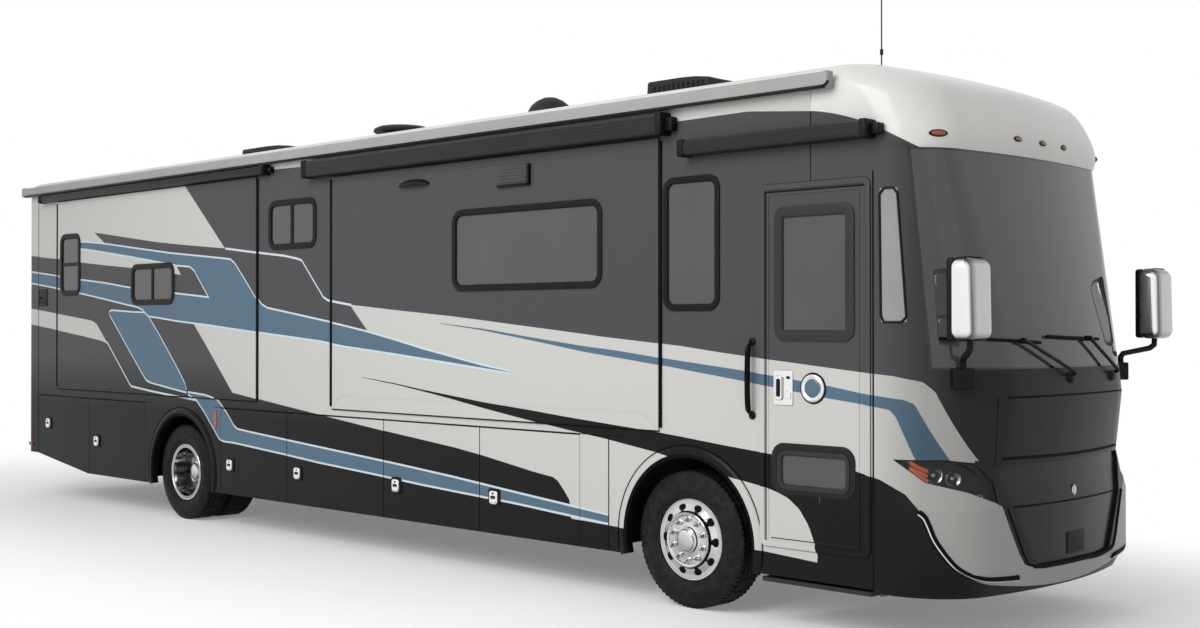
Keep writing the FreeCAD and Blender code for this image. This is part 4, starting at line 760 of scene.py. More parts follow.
def welts(pad, thin, radius):
    """Two piped seams round a pad, either side of its middle, on the cover as it lies."""
    low, high = (Vector([pick(v.co[i] for v in pad.data.vertices) for i in range(3)]) for pick in (min, max))
    centre, half = (low + high) / 2, (high - low) / 2
    loops = []
    for share in (-0.42, 0.42):
        route = []
        for i in range(49):
            angle = 2 * math.pi * i / 48
            spread = 1.15 / max(abs(math.cos(angle)), abs(math.sin(angle)))
            across, along = (1, 2) if thin == 0 else (0, 1)
            point = centre.copy()
            point[across] += half[across] * spread * math.cos(angle)
            point[along] += half[along] * spread * math.sin(angle)
            point[thin] += half[thin] * share
            _, spot, out, _ = pad.closest_point_on_mesh(point)
            route.append(spot + out * radius * 0.3)
        loops.append(rod(route, radius, True, 2))
    return loops


def bake(piece):
    """Give a piece the mesh that its modifiers make, and take them off."""
    made = bpy.data.meshes.new_from_object(piece.evaluated_get(bpy.context.evaluated_depsgraph_get()))
    old = piece.data
    piece.modifiers.clear()
    piece.data = made
    name = old.name
    bpy.data.meshes.remove(old)
    made.name = name


# ---------------------------------------------------------------- operators
class MOTORHOME_OT_paint(Operator):
    """Make every finish and give each frame node its own"""
    bl_idname = "motorhome.paint"
    bl_label = "Finishes"

    def execute(self, context):
        make_finishes(context.scene.motorhome_paint)
        for name, node in nodes.items():
            chosen = None
            for ending, finish_name in NODE_FINISHES:
                if name.endswith(ending) or ("_door_" in name and ending == "_door_"):
                    chosen = finish_name
            if name.endswith("glass"):
                chosen = "window"
            if chosen is None:
                raise RuntimeError("no finish for " + name)
            for slot in node.material_slots:
                slot.material = finishes[chosen]
        return {"FINISHED"}


# Windows: name, body, glass edges x0 x1 z0 z1, corner radius, how far the frame passes the glass, frame width,
# bars (x or z, and where) and side
WINDOWS = (
    ("bedroom_tall", "bedroom_slide", (-5.766, -5.297, 2.478, 3.174), 0.115, 0.024, 0.058, (("z", 2.83),), -1),
    ("bedroom_wide", "bedroom_slide", (-4.025, -3.102, 2.341, 2.769), 0.115, 0.016, 0.056, (("x", -3.565),), -1),
    ("middle", "coach", (-1.259, -0.464, 2.861, 3.322), 0.115, 0.016, 0.054, (("x", -0.865),), -1),
    ("living", "right_living_slide", (1.617, 3.406, 2.399, 3.077), 0.120, 0.012, 0.050, (), -1),
    ("tall", "coach", (4.054, 4.580, 2.215, 3.185), 0.105, 0.012, 0.045, (), -1),
    ("entry_upper", "entry_door", (5.138, 5.710, 2.038, 2.870), 0.085, 0.050, 0.070, (), -1),
    ("entry_lower", "entry_door", (5.131, 5.709, 0.970, 1.218), 0.070, 0.012, 0.030, (), -1),
    ("left_middle", "coach", (-1.259, -0.464, 2.861, 3.322), 0.115, 0.016, 0.054, (("x", -0.865),), 1),
    ("left_living", "left_living_slide", (1.617, 3.406, 2.399, 3.077), 0.120, 0.012, 0.050, (), 1),
    ("left_tall", "coach", (4.054, 4.580, 2.215, 3.185), 0.105, 0.012, 0.045, (), 1),
    ("driver", "coach", (5.030, 5.810, 2.038, 2.870), 0.105, 0.014, 0.048, (("x", 5.40),), 1),
    ("left_bedroom_tall", "coach", (-5.766, -5.297, 2.478, 3.174), 0.115, 0.024, 0.058, (("z", 2.83),), 1),
    ("left_bedroom_wide", "coach", (-4.025, -3.102, 2.341, 2.769), 0.115, 0.016, 0.056, (("x", -3.565),), 1),
)
SLIDES = {"bedroom_slide": -1, "right_living_slide": -1, "left_living_slide": 1}
slide_proud = 0.018


class MOTORHOME_OT_windows(Operator):
    """Rubber and aluminium frames round every side window, with their bars"""
    bl_idname = "motorhome.windows"
    bl_label = "Window frames"

    def execute(self, context):
        trim = context.scene.motorhome_trim
        for name, body, (x0, x1, z0, z1), radius, grow, width, bars, side in WINDOWS:
            off = slide_proud if body in SLIDES else 0.0
            parts = [side_plate(x0 - grow, x1 + grow, z0 - grow, z1 + grow, radius, off - 0.003,
                                trim.frame_proud + 0.003, 0.004, width)]
            inner = width - grow
            parts.append(side_plate(x0 + inner - 0.006, x1 - inner + 0.006, z0 + inner - 0.006, z1 - inner + 0.006,
                                    radius - width + 0.006, off - 0.003, 0.007, 0.001, 0.012))
            for way, at in bars:
                span = (at - 0.022, at + 0.022, z0 + 0.02, z1 - 0.02)
                if way == "z":
                    span = (x0 + 0.02, x1 - 0.02, at - 0.02, at + 0.02)
                parts.append(side_plate(*span, 0, off - 0.003, 0.010, 0.003))
            finish_name = "door_frame" if name.startswith("entry") else "black"
            make_piece("window_frame_" + name, body, finish_name, *sided(side, *parts))
        return {"FINISHED"}


class MOTORHOME_OT_slides(Operator):
    """Seals, fascia lines and small fittings of the slide-out rooms"""
    bl_idname = "motorhome.slides"
    bl_label = "Slide-out trim"

    def execute(self, context):
        seal = context.scene.motorhome_trim.seal_width
        for name, side in SLIDES.items():
            low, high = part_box(name)
            x0, x1, z0, z1 = low.x, high.x, low.z, high.z
            # Rubber seals beside the flange's ends, one widened; they also stand for the painted shade where the
            # proud flange meets the wall
            rim = []
            for a, b in ((x0 - seal * 1.4, x0), (x1, x1 + seal)):
                rim.append(side_plate(a, b, z0 + 0.02, z1 - 0.02, 0.0, 0.0, slide_proud - 0.004, 0.004))
            rim.append(side_plate(x0, x0 + 0.014, z0 + 0.02, z1 - 0.02, 0.0, slide_proud - 0.001, 0.003, 0.001))
            rim.append(side_plate(x0, x1, z1, z1 + 0.008, 0, 0.0, slide_proud - 0.006, 0.0))
            rim.append(side_plate(x0, x1, z0 - 0.012, z0, 0, 0.0, slide_proud - 0.006, 0.0))
            fascia = plates((x0 + 0.13, x1 - 0.15, z0 + 0.123, z0 + 0.135, 0, slide_proud - 0.001, 0.003),
                            (x0 + 0.05, x1 - 0.12, z1 - 0.064, z1 - 0.052, 0, slide_proud - 0.001, 0.003))
            for x, tilt in ((x0 + 0.07, -38), (x1 - 0.09, 38)):
                bar = side_plate(-0.085, 0.085, -0.004, 0.004, 0, slide_proud - 0.001, 0.003)
                fascia.append(moved(turned(bar, tilt, "Y"), x, 0, z0 + 0.065))
            make_piece(name + "_seal", name, "rubber", *sided(side, *rim))
            make_piece(name + "_fascia", name, "room", *sided(side, *fascia))
        for name, side in (("right_living_slide", -1), ("left_living_slide", 1)):
            lamp = lathe([(-0.055, 0.0), (-0.054, 0.08), (-0.045, 0.15), (-0.025, 0.20), (0.0, 0.215)], 32,
                         (0, 0, 0), 180.0, 180.0)
            bmesh.ops.scale(lamp, vec=(1.0, 1.0, 0.28), verts=lamp.verts[:])
            bmesh.ops.holes_fill(lamp, edges=[e for e in lamp.edges if e.is_boundary])
            moved(lamp, 1.08, -coach_side - slide_proud, 3.335)
            vent = plates((2.205, 2.60, 3.245, 3.265, 0.004, slide_proud, 0.03, 0.004),
                          (2.575, 2.60, 3.245, 3.42, 0.004, slide_proud, 0.03, 0.004))
            cover = [side_plate(2.205, 2.575, 3.265, 3.42, 0.01, slide_proud, 0.012, 0.004)]
            for i in range(5):
                cover.append(side_plate(2.225, 2.555, 3.283 + i * 0.027, 3.293 + i * 0.027, 0, slide_proud + 0.012,
                                        0.005))
            make_piece(name + "_lamp", name, "black", *sided(side, lamp))
            make_piece(name + "_vent_edge", name, "black", *sided(side, *vent))
            make_piece(name + "_vent_cover", name, "room", *sided(side, *cover))
        return {"FINISHED"}


class MOTORHOME_OT_latches(Operator):
    """Chrome latches on the baggage doors"""
    bl_idname = "motorhome.latches"
    bl_label = "Baggage latches"

    def execute(self, context):
        size = context.scene.motorhome_trim.latch_size
        for side, sign, count in (("right", -1, 6), ("left", 1, 3)):
            for i in range(count):
                name = "%s_baggage_door_%d" % (side, i + 1)
                low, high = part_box(name)
                x = low.x + (0.25 if high.x < rear_axle_x and i == 0 else 0.19)
                z = {0: 0.90, 1: 0.745}.get(i, 0.655) if side == "right" else 0.655
                half = size / 2
                # The black base is the latch's housing; its edge round the cover also stands for painted shade there
                base = [side_plate(x - half, x + half, z - half, z + half, 0.03, sunk, 0.010, 0.003)]
                cover = [side_plate(x - half * 0.70, x + half * 0.70, z - half * 0.78, z + half * 0.78, 0.030, 0.008,
                                    0.014, 0.009)]
                cover.append(side_plate(x - half * 0.5, x + half * 0.5, z - half * 0.62, z - half * 0.2, 0.012, 0.021,
                                        0.006, 0.003))
                # Painted shade: a thin black plate stands for the dark recess in the cover
                slot = [side_plate(x - half * 0.40, x + half * 0.40, z - half * 0.14, z + half * 0.20, 0.008, 0.021,
                                   0.002)]
                slot.append(moved(lathe([(0.0, 0.009), (-0.003, 0.009), (-0.004, 0.006), (-0.002, 0.0)], 16),
                                  x, -coach_side - 0.022, z + half * 0.45))
                make_piece(name + "_latch_base", name, "black", *sided(sign, *base, *slot))
                make_piece(name + "_latch", name, "chrome", *sided(sign, *cover))
        return {"FINISHED"}


class MOTORHOME_OT_entry(Operator):
    """Door surround, latch plate, round plate, handle ends, step treads"""
    bl_idname = "motorhome.entry"
    bl_label = "Entry door"

    def execute(self, context):
        low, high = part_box("entry_door")
        x0, x1 = low.x, high.x
        z0, z1 = 0.58, 3.025
        surround = side_plate(x0 - 0.055, x1 + 0.045, z0 - 0.03, z1 + 0.058, 0.055, sunk, 0.012, 0.004, 0.040)
        make_piece("entry_door_surround", "coach", "body", surround)
        rims = plates((x0 - 0.058, x1 + 0.048, z0 - 0.033, z1 + 0.061, 0.058, sunk, 0.004, 0.0, 0.005),
                      (x0 - 0.008, x1 + 0.008, z0 - 0.008, z1 + 0.008, 0.0, sunk, 0.004, 0.0, 0.007))
        make_piece("entry_door_gasket", "coach", "rubber", *rims)
        edge = side_plate(x0 + 0.006, x1 - 0.042, z0 + 0.006, z1 - 0.006, 0.0, sunk, 0.006, 0.002, 0.014)
        make_piece("entry_door_edge", "entry_door", "body", edge)
        line = side_plate(x0 + 0.04, x1 - 0.04, 0.610, 0.616, 0, sunk, 0.003)
        make_piece("entry_door_kick_line", "entry_door", "dark_panel", line)
        panel = side_plate(5.060, 5.765, 0.925, 1.280, 0.105, sunk, 0.005, 0.002, 0.062)
        make_piece("entry_door_lower_surround", "entry_door", "dark_panel", panel)
        plate = plates((5.081, 5.248, 1.542, 1.783, 0.012, sunk, 0.008, 0.003),
                       (5.105, 5.165, 1.575, 1.75, 0.02, 0.007, 0.016, 0.006),
                       (5.185, 5.235, 1.585, 1.64, 0.01, 0.007, 0.006, 0.003))
        make_piece("entry_latch_plate", "entry_door", "chrome", *plate)
        grip = [side_plate(5.118, 5.152, 1.60, 1.725, 0.012, 0.022, 0.003)]
        grip.append(lathe([(0, 0.011), (-0.008, 0.011), (-0.009, 0.0)], 20, (5.21, -coach_side - 0.008, 1.735)))
        make_piece("entry_latch_grip", "entry_door", "black", *grip)
        centre = (5.419, -coach_side, 1.666)
        # Painted shade: a dark ring round the round plate's foot, where its shade falls on the door
        shade = lathe([(0.0, 0.096), (-0.004, 0.108), (-0.006, 0.106), (-0.006, 0.096)], 64, centre)
        make_piece("entry_round_gasket", "entry_door", "rubber", shade)
        disc = lathe([(0.002, 0.0), (0.002, 0.098), (-0.010, 0.098), (-0.018, 0.090), (-0.020, 0.080),
                      (-0.014, 0.070),
                      (-0.012, 0.055), (-0.016, 0.045), (-0.017, 0.0)], 64, centre)
        make_piece("entry_round_plate", "entry_door", "chrome", disc)
        inlay = lathe([(-0.0125, 0.066), (-0.0175, 0.060), (-0.0185, 0.052), (-0.0190, 0.0)], 64, centre)
        make_piece("entry_round_inlay", "entry_door", "blue", inlay)
        ends = []
        for z in (1.46, 1.98):
            ends.append(lathe([(0.0, 0.030), (-0.008, 0.030), (-0.016, 0.022), (-0.020, 0.0145)], 24,
                              (4.89, -coach_side, z)))
        make_piece("grab_handle_ends", "coach", "black", *ends)
        low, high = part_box("grab_handle")
        bar_y = low.y + 0.014
        sleeve = rod([(4.89, bar_y + 0.012, low.z + 0.050), (4.89, bar_y, low.z + 0.085),
                      (4.89, bar_y, high.z - 0.085),
                      (4.89, bar_y + 0.012, high.z - 0.050)], 0.0205, True, 5)
        make_piece("grab_handle_sleeve", "coach", "rubber", sleeve)
        box_low, box_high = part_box("entry_step")
        ribs = []
        for i in range(9):
            y = box_low.y + 0.03 + i * 0.042
            ribs.append(block(box_low.x + 0.02, box_high.x - 0.02, y, y + 0.014, box_high.z, box_high.z + 0.003,
                              0.001, 1))
        make_piece("entry_step_ribs", "entry_step", "rubber", *ribs)
        return {"FINISHED"}


class MOTORHOME_OT_seams(Operator):
    """Seals over the joints between body panels, and small side fittings"""
    bl_idname = "motorhome.seams"
    bl_label = "Panel seams"

    def execute(self, context):
        def strips():
            parts = []
            for x, z0, z1, wide in ((5.905, 0.36, 3.12, 0.012), (5.398, 3.09, 3.56, 0.006),
                                    (3.47, 0.36, 1.235, 0.010),
                                    (-6.425, 0.54, 3.69, 0.010)):
                parts.append(side_plate(x - wide / 2, x + wide / 2, z0, z1, 0, sunk, 0.0025))
            for x0, x1 in ((-6.40, -3.62), (-2.30, 3.62)):
                parts.append(side_plate(x0, x1, 1.2385, 1.2445, 0, sunk, 0.002))
            return gather(*parts)
        make_piece("panel_seams", "coach", "rubber", strips(), flipped(strips()))

        def marker():
            return gather(side_plate(-2.295, -2.245, 1.02, 1.20, 0.012, sunk, 0.010, 0.004))
        make_piece("side_reflectors", "coach", "amber", marker(), flipped(marker()))

        def tail_marker():
            return side_plate(-6.66, -6.56, 0.60, 0.645, 0.012, sunk, 0.016, 0.006)
        make_piece("tail_side_markers", "coach", "red", tail_marker(), flipped(tail_marker()))
        pane = bmesh.new()
        pane.from_mesh(nodes["side_glass"].data)
        bmesh.ops.delete(pane, geom=[v for v in pane.verts if v.co.x < 5.93], context="VERTS")
        bmesh.ops.remove_doubles(pane, verts=pane.verts[:], dist=1e-5)
        for vert in pane.verts:
            vert.co.y += 0.0025 if vert.co.y > 0 else -0.0025
        make_piece("cab_panes", "coach", "cab_glass", pane)

        def cab_frame():
            ring = [(5.990, 3.000), (6.060, 3.000), (6.080, 2.960), (6.142, 2.150), (6.120, 2.118), (5.990, 2.118),
                    (5.967, 2.160), (5.957, 2.960), (5.990, 3.000)]
            return skin_line("front_mask", [(x, -1.30, z) for x, z in ring], 0.001, 0.009, False)
        make_piece("cab_pane_frames", "coach", "black", cab_frame(), flipped(cab_frame()))
        hatch = plates((-6.415, -6.17, 2.335, 2.545, 0.014, sunk, 0.007, 0.003, 0.016),
                       (-6.395, -6.19, 2.355, 2.525, 0.010, sunk, 0.004, 0.002))
        hatch.append(lathe([(0, 0.016), (-0.008, 0.016), (-0.011, 0.0)], 20, (-6.37, -coach_side - 0.003, 2.44)))
        make_piece("service_hatch", "coach", "black", *hatch)
        return {"FINISHED"}


class MOTORHOME_OT_awnings(Operator):
    """Ribs, end caps and brackets on the awning cassettes and the long case"""
    bl_idname = "motorhome.awnings"
    bl_label = "Awnings"

    def execute(self, context):
        cases = ((-6.230, -1.250, 3.606, 3.690, 0.095, 0), (-0.527, 4.110, 3.515, 3.675, 0.120, 1),
                 (4.291, 5.922, 3.337, 3.450, 0.120, 0))
        ribs, caps = [], []
        for x0, x1, z0, z1, reach, mirrored in cases:
            for side in ((-1, 1) if mirrored else (-1,)):
                rib, cap = [], []
                tall = z1 - z0
                for share in (0.30, 0.46, 0.62, 0.78):
                    z = z0 + tall * share
                    rib.append(side_plate(x0 + 0.06, x1 - 0.06, z, z + tall * 0.05, 0, reach - 0.001, 0.004, 0.0015))
                for a, b in ((x0 - 0.012, x0 + 0.05), (x1 - 0.05, x1 + 0.012)):
                    cap.append(block(a, b, -coach_side - reach - 0.010, -coach_side + 0.001, z0 - 0.008, z1 + 0.006,
                                     0.014))
                cap.append(block(x1 + 0.008, x1 + 0.075, -coach_side - reach * 0.6, -coach_side, z0 + tall * 0.15,
                                 z0 + tall * 0.8, 0.010))
                ribs += sided(side, *rib)
                caps += sided(side, *cap)
        make_piece("cassette_ribs", "coach", "cassette", *ribs)
        make_piece("cassette_ends", "coach", "black", *caps)
        low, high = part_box("roof_awning")
        reach = -coach_side - low.y
        ends = [block(low.x - 0.015, low.x + 0.06, low.y - 0.006, -coach_side, low.z + 0.002, high.z + 0.004, 0.018)]
        ends.append(block(high.x - 0.05, high.x + 0.008, low.y - 0.002, -coach_side, low.z + 0.002, high.z + 0.003,
                          0.018))
        make_piece("long_case_ends", "coach", "case", *ends)
        lines = [block(low.x + 0.07, high.x - 0.02, low.y - 0.003, low.y + 0.020, low.z - 0.002, low.z + 0.022, 0.004,
                       2)]
        curl = rod([(high.x - 0.05, low.y - 0.001, low.z + 0.010), (high.x + 0.005, low.y - 0.001, low.z + 0.012),
                    (high.x + 0.012, low.y - 0.001, low.z + 0.045)], 0.010, True)
        lines.append(curl)
        make_piece("long_case_lines", "coach", "black", *lines)
        return {"FINISHED"}


class MOTORHOME_OT_arches(Operator):
    """Flares, lips and liners of the wheel arches"""
    bl_idname = "motorhome.arches"
    bl_label = "Wheel arches"

    def execute(self, context):
        def ring(x, profile, sweep):
            return lathe(profile, 48, (x, 0, tyre_radius), sweep, -sweep + (sweep - 180) / 2)
        out = -coach_side
        flare = ((out + 0.002, 0.700), (out - 0.006, 0.694), (out - 0.014, 0.670), (out - 0.016, 0.650),
                 (out - 0.014, 0.640), (out + 0.004, 0.638), (out + 0.004, 0.700))
        lip = ((out - 0.012, 0.641), (out - 0.014, 0.634), (out - 0.010, 0.612), (out + 0.03, 0.606),
               (out + 0.05, 0.606), (out + 0.05, 0.641), (out - 0.012, 0.641))
        line = ((out - 0.001, 0.701), (out - 0.006, 0.7015), (out - 0.006, 0.7065), (out - 0.001, 0.707),
                (out - 0.001, 0.701))
        liner = ((out + 0.052, 0.648), (-0.60, 0.648), (-0.60, 0.655), (out + 0.052, 0.655), (out + 0.052, 0.648))
        for label, x in (("front", front_axle_x + arch_ahead), ("rear", rear_axle_x + arch_ahead)):
            for name, finish_name, profile, sweep in (
                    ("_arch_flares", "body", flare, 209.0), ("_arch_lines", "rubber", line, 200.0),
                    ("_arch_lips", "rubber", lip, 209.0), ("_arch_liners", "rubber", liner, 196.0)):
                make_piece(label + name, "coach", finish_name, *both(lambda: ring(x, profile, sweep)))
        return {"FINISHED"}


class MOTORHOME_OT_tyres(Operator):
    """Treaded tyres in place of the plain ones"""
    bl_idname = "motorhome.tyres"
    bl_label = "Tyres"

    def execute(self, context):
        wheels = context.scene.motorhome_wheels
        for side, sign in SIDES:
            for label, x, rows, ending in (
                    ("front", front_axle_x, (wheel_middle,), "_front_tyre"),
                    ("rear", rear_axle_x, (wheel_middle, wheel_middle - dual_spacing), "_rear_tyres")):
                node = side + ending
                parts = [self.one(wheels, (x, sign * y, tyre_radius)) for y in rows]
                piece = make_piece(node + "_treaded", "%s_%s_wheel" % (side, label), "tyre", *parts, sharp=38)
                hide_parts(node)
        return {"FINISHED"}

    def one(self, wheels, centre):
        half = tyre_width / 2
        r = tyre_radius
        deep = wheels.tread_depth
        side = ((0.104, 0.284), (0.110, 0.292), (0.1185, 0.306), (0.1165, 0.316), (0.124, 0.330), (0.1345, 0.352),
                (0.1365, 0.358), (0.1385, 0.3585), (0.1398, 0.372), (half, 0.400), (half, 0.424),
                (half - 0.0015, 0.426),
                (half - 0.004, 0.450), (half - 0.010, 0.468), (half - 0.014, 0.478), (half - 0.016, r - deep - 0.010),
                (half - 0.026, r - deep))
        grooves = []
        for y in (0.072, 0.026):
            grooves += [(y + 0.007, r - deep), (y + 0.005, r - deep - 0.004), (y - 0.005, r - deep - 0.004),
                        (y - 0.007, r - deep)]
        run = list(side) + grooves + [(0.0, r - deep)]
        profile = run + [(-a, b) for a, b in reversed(run[:-1])]
        part = lathe(profile, wheels.tread_blocks * 2, (0, 0, 0))
        # Lugs rise from the bands between the grooves, every other facet on the shoulders
        lugs = []
        step = math.pi / wheels.tread_blocks
        for face in part.faces:
            spot = face.calc_center_median()
            reach = math.hypot(spot.x, spot.z)
            if reach < r - deep - 0.002:
                continue
            turn = int((math.atan2(spot.z, spot.x) % (2 * math.pi)) / step)
            if abs(spot.y) > 0.08 and turn % 2:
                continue
            if abs(spot.y) < 0.08 and turn % 6 == 0:
                continue
            lugs.append(face)
        made = bmesh.ops.extrude_face_region(part, geom=lugs)
        rising = [v for v in made["geom"] if isinstance(v, bmesh.types.BMVert)]
        for vert in rising:
            reach = math.hypot(vert.co.x, vert.co.z)
            grow = r * 0.9993 / reach
            vert.co.x *= grow
            vert.co.z *= grow
        bmesh.ops.delete(part, geom=lugs, context="FACES_ONLY")
        return moved(part, *centre)


class MOTORHOME_OT_wheels(Operator):
    """Hub covers, lug covers, rim lips and dark hand holes on every wheel; the dark ovals and the ring round the
    front hub plate are painted shade
    """
    bl_idname = "motorhome.wheels"
    bl_label = "Wheel covers"

    def execute(self, context):
        wheels = context.scene.motorhome_wheels
        cover = ((0.0, 0.0185), (0.030, 0.0175), (0.044, 0.0135), (0.050, 0.007), (0.051, 0.0))
        collar = ((0.0, 0.025), (0.012, 0.025), (0.015, 0.0185))
        plate = ((0.0, 0.198), (0.004, 0.205), (0.014, 0.204), (0.018, 0.196), (0.014, 0.182), (0.006, 0.176),
                 (0.006, 0.112), (0.010, 0.100))
        # Painted shade: a dark ring in the step round the front hub plate
        step_shade_ring = ((0.0, 0.214), (0.004, 0.214), (0.004, 0.200))
        lip = ((0.118, 0.303), (0.121, 0.300), (0.120, 0.292), (0.112, 0.286))
        front_dome = ((0.0, 0.094), (0.004, 0.098), (0.010, 0.096), (0.014, 0.086), (0.020, 0.082), (0.026, 0.070),
                      (0.029, 0.040), (0.030, 0.0))
        rear_dome = ((0.0, 0.108), (0.004, 0.112), (0.012, 0.108), (0.016, 0.092), (0.030, 0.086), (0.040, 0.070),
                     (0.044, 0.040), (0.045, 0.0))
        deep = wheel_middle - dual_spacing / 2
        # Wheel, axle x, face under the lug covers, face under the hub, hub cover; then each hand hole's slope,
        # circle radius, place off the face and half width and height
        kinds = (
            ("front", front_axle_x, wheel_middle + 0.140, wheel_middle + 0.158, front_dome,
             -18.0, wheels.hole_circle + 0.011, -0.013, 0.024, 0.033),
            ("rear", rear_axle_x, deep + 0.012, deep + 0.158, rear_dome,
             42.0, wheels.hole_circle, 0.030, 0.022, 0.030),
        )

        def spun(outline, steps, sign, x, y, up=0.0):
            return lathe([(sign * a, r) for a, r in outline], steps, (x, sign * y, tyre_radius + up))
        for side, sign in SIDES:
            for label, x, base, hub_base, dome, slope, circle, off, small, large in kinds:
                parts, painted_shade_parts = [], []
                for i in range(wheels.lug_count):
                    angle = 2 * math.pi * (i + 0.5) / wheels.lug_count
                    for outline in (cover, collar):
                        parts.append(spun(outline, 16, sign, x + wheels.lug_circle * math.cos(angle), base,
                                          wheels.lug_circle * math.sin(angle)))
                if label == "front":
                    parts.append(spun(plate, 64, sign, x, base + 0.004))
                    painted_shade_parts.append(spun(step_shade_ring, 64, sign, x, base - 0.002))
                # Painted shade: dark ovals on the rim stand for the shade seen through the hand holes
                for i in range(wheels.hole_count):
                    hole = turned(ball(small, 0.005, large), sign * slope, "Z")
                    moved(hole, circle, sign * (base + off), 0)
                    turned(hole, math.degrees(2 * math.pi * i / wheels.hole_count), "Y")
                    painted_shade_parts.append(moved(hole, x, 0, tyre_radius))
                parts.append(spun(dome, 48, sign, x, hub_base))
                parts.append(spun(lip, 64, sign, x, wheel_middle))
                wheel = "%s_%s_wheel" % (side, label)
                make_piece("%s_%s_hand_holes" % (side, label), wheel, "rubber", *painted_shade_parts)
                make_piece(wheel + "_covers", wheel, "rim", *parts, sharp=30)
        return {"FINISHED"}


class MOTORHOME_OT_front(Operator):
    """Badge, camera cover, seams, slit and chrome line on the front"""
    bl_idname = "motorhome.front"
    bl_label = "Front trim"

    def execute(self, context):
        spot, out = on_skin("grille_panel", (6.80, 0.0, 0.994))
        make_piece("front_badge", "coach", "chrome", moved(ball(0.010, 0.028, 0.040), *(spot + out * 0.002)))
        spot, _ = on_skin("grille_panel", (6.80, 0.0, 0.62))
        cover = [block(spot.x - 0.010, spot.x + 0.004, -0.125, 0.125, 0.545, 0.695, 0.003)]
        for i in range(9):
            z = 0.558 + i * 0.0155
            cover.append(block(spot.x + 0.002, spot.x + 0.007, -0.115, 0.115, z, z + 0.006, 0.001, 1))
        make_piece("camera_cover", "coach", "black", *cover)
        across = [-0.84 + i * 0.14 for i in range(13)]
        seams = [skin_line("grille_panel", [(6.9, y, 0.925) for y in across], -0.002, 0.007)]
        wide = [-0.899 + i * 0.1798 for i in range(11)]
        seams.append(skin_line("hood_panel", [(6.9, y, hood_top - 0.004) for y in wide], -0.001, 0.007))
        seams.append(skin_line("hood_panel", [(6.9, y * 0.987, hood_base + 0.003) for y in wide], -0.002, 0.011))
        for side in (-1, 1):
            route = [(6.62, side * (0.899 - 0.012 * i / 6),
                      hood_top - i * (hood_top - hood_base) / 6) for i in range(7)]
            seams.append(skin_line("hood_panel", route, -0.003, 0.0045))
        # Rods along the inset grille panel's edge and foot sit in its step: the seam there, and painted shade in the
        # step
        edge = [(-0.869, 0.925), (-0.782, 0.75), (-0.702, 0.60), (-0.652, 0.53), (-0.585, 0.508)]
        foot = [(-0.585 + i * 0.117, 0.508) for i in range(11)]
        seams.append(skin_line("front_bumper", [(6.9, y, z) for y, z in edge], -0.002, 0.009, False))
        seams.append(skin_line("front_bumper", [(6.9, -y, z) for y, z in edge], -0.002, 0.013, False))
        seams.append(skin_line("front_bumper", [(6.9, y, z) for y, z in foot], -0.003, 0.014, False))
        make_piece("front_panel_seam", "coach", "rubber", *seams)

        def slit(off, radius, lift):
            route = ((6.255, -1.31, 0.884), (6.285, -1.30, 0.872), (6.315, -1.29, 0.81), (6.345, -1.27, 0.72),
                     (6.40, -1.22, 0.62),
                     (6.46, -1.17, 0.53), (6.54, -1.05, 0.465), (6.62, -0.88, 0.425), (6.68, -0.69, 0.405))
            return skin_line("front_bumper", [(x, y, z + lift) for x, y, z in route], off, radius)
        make_piece("bumper_slit", "coach", "rubber", *both(lambda: slit(-0.002, 0.024, 0.0)))
        make_piece("bumper_bright_line", "coach", "chrome", *both(lambda: slit(0.0215, 0.0055, -0.006)))
        return {"FINISHED"}


class MOTORHOME_OT_headlamps(Operator):
    """Housings, bowls and turn lenses behind the clear covers"""
    bl_idname = "motorhome.headlamps"
    bl_label = "Headlamps"

    def execute(self, context):
        housing = bmesh.new()
        housing.from_mesh(nodes["headlights"].data)
        bmesh.ops.remove_doubles(housing, verts=housing.verts[:], dist=1e-5)
        for vert in housing.verts:
            side = -1 if vert.co.y < 0 else 1
            vert.co.x -= 0.034
            vert.co.y -= side * 0.034
        make_piece("headlamp_housings", "coach", "black", housing)
        corner_run = 1.68

        def on_lamp(along, z, off):
            """A place on the right lamp's cover, along metres outward round the corner."""
            ahead = along * math.sqrt(0.5)
            return on_skin("headlights", (front_axle_x + ahead + corner_run, ahead - corner_run, z), off)[0]
        bowls, turns, fins = [], [], []
        for along, z, r, deep in ((0.600, 1.146, 0.050, 0.036), (0.735, 1.122, 0.046, 0.036),
                                  (0.915, 1.010, 0.026, 0.034)):
            spot = on_lamp(along, z, 0.0) - Vector((0.7071, -0.7071, 0)) * deep
            for side in (-1, 1):
                bowl = lathe([(0.0, r), (-0.004, r * 1.10), (-0.009, r * 1.06), (-0.004, r * 0.92), (0.012, r * 0.72),
                              (0.020, r * 0.36), (0.021, 0.0)], 32)
                bulb = lathe([(-0.004, 0.0), (-0.002, r * 0.24), (0.004, r * 0.34), (0.014, r * 0.36)], 24)
                for part in (bowl, bulb):
                    turned(part, 45, "Z")
                    moved(part, *spot)
                    bowls += sided(side, part)
        make_piece("headlamp_bowls", "coach", "chrome", *bowls)
        for side in (-1, 1):
            for share in (0.0, 0.5, 1.0):
                route = [on_lamp(along, z - share * drop, -0.010)
                         for along, z, drop in ((0.395, 1.205, 0.012), (0.47, 1.195, 0.045), (0.545, 1.180, 0.075))]
                turns += sided(side, rod(route, 0.017, True))
            route = [on_lamp(along, z, -0.004)
                     for along, z in ((0.40, 1.214), (0.60, 1.213), (0.80, 1.200), (0.90, 1.160))]
            fins += sided(side, rod(route, 0.008, True))
        make_piece("front_turn_lenses", "coach", "amber", *turns, slot="lamp_lens")
        make_piece("headlamp_brows", "coach", "black", *fins)
        return {"FINISHED"}


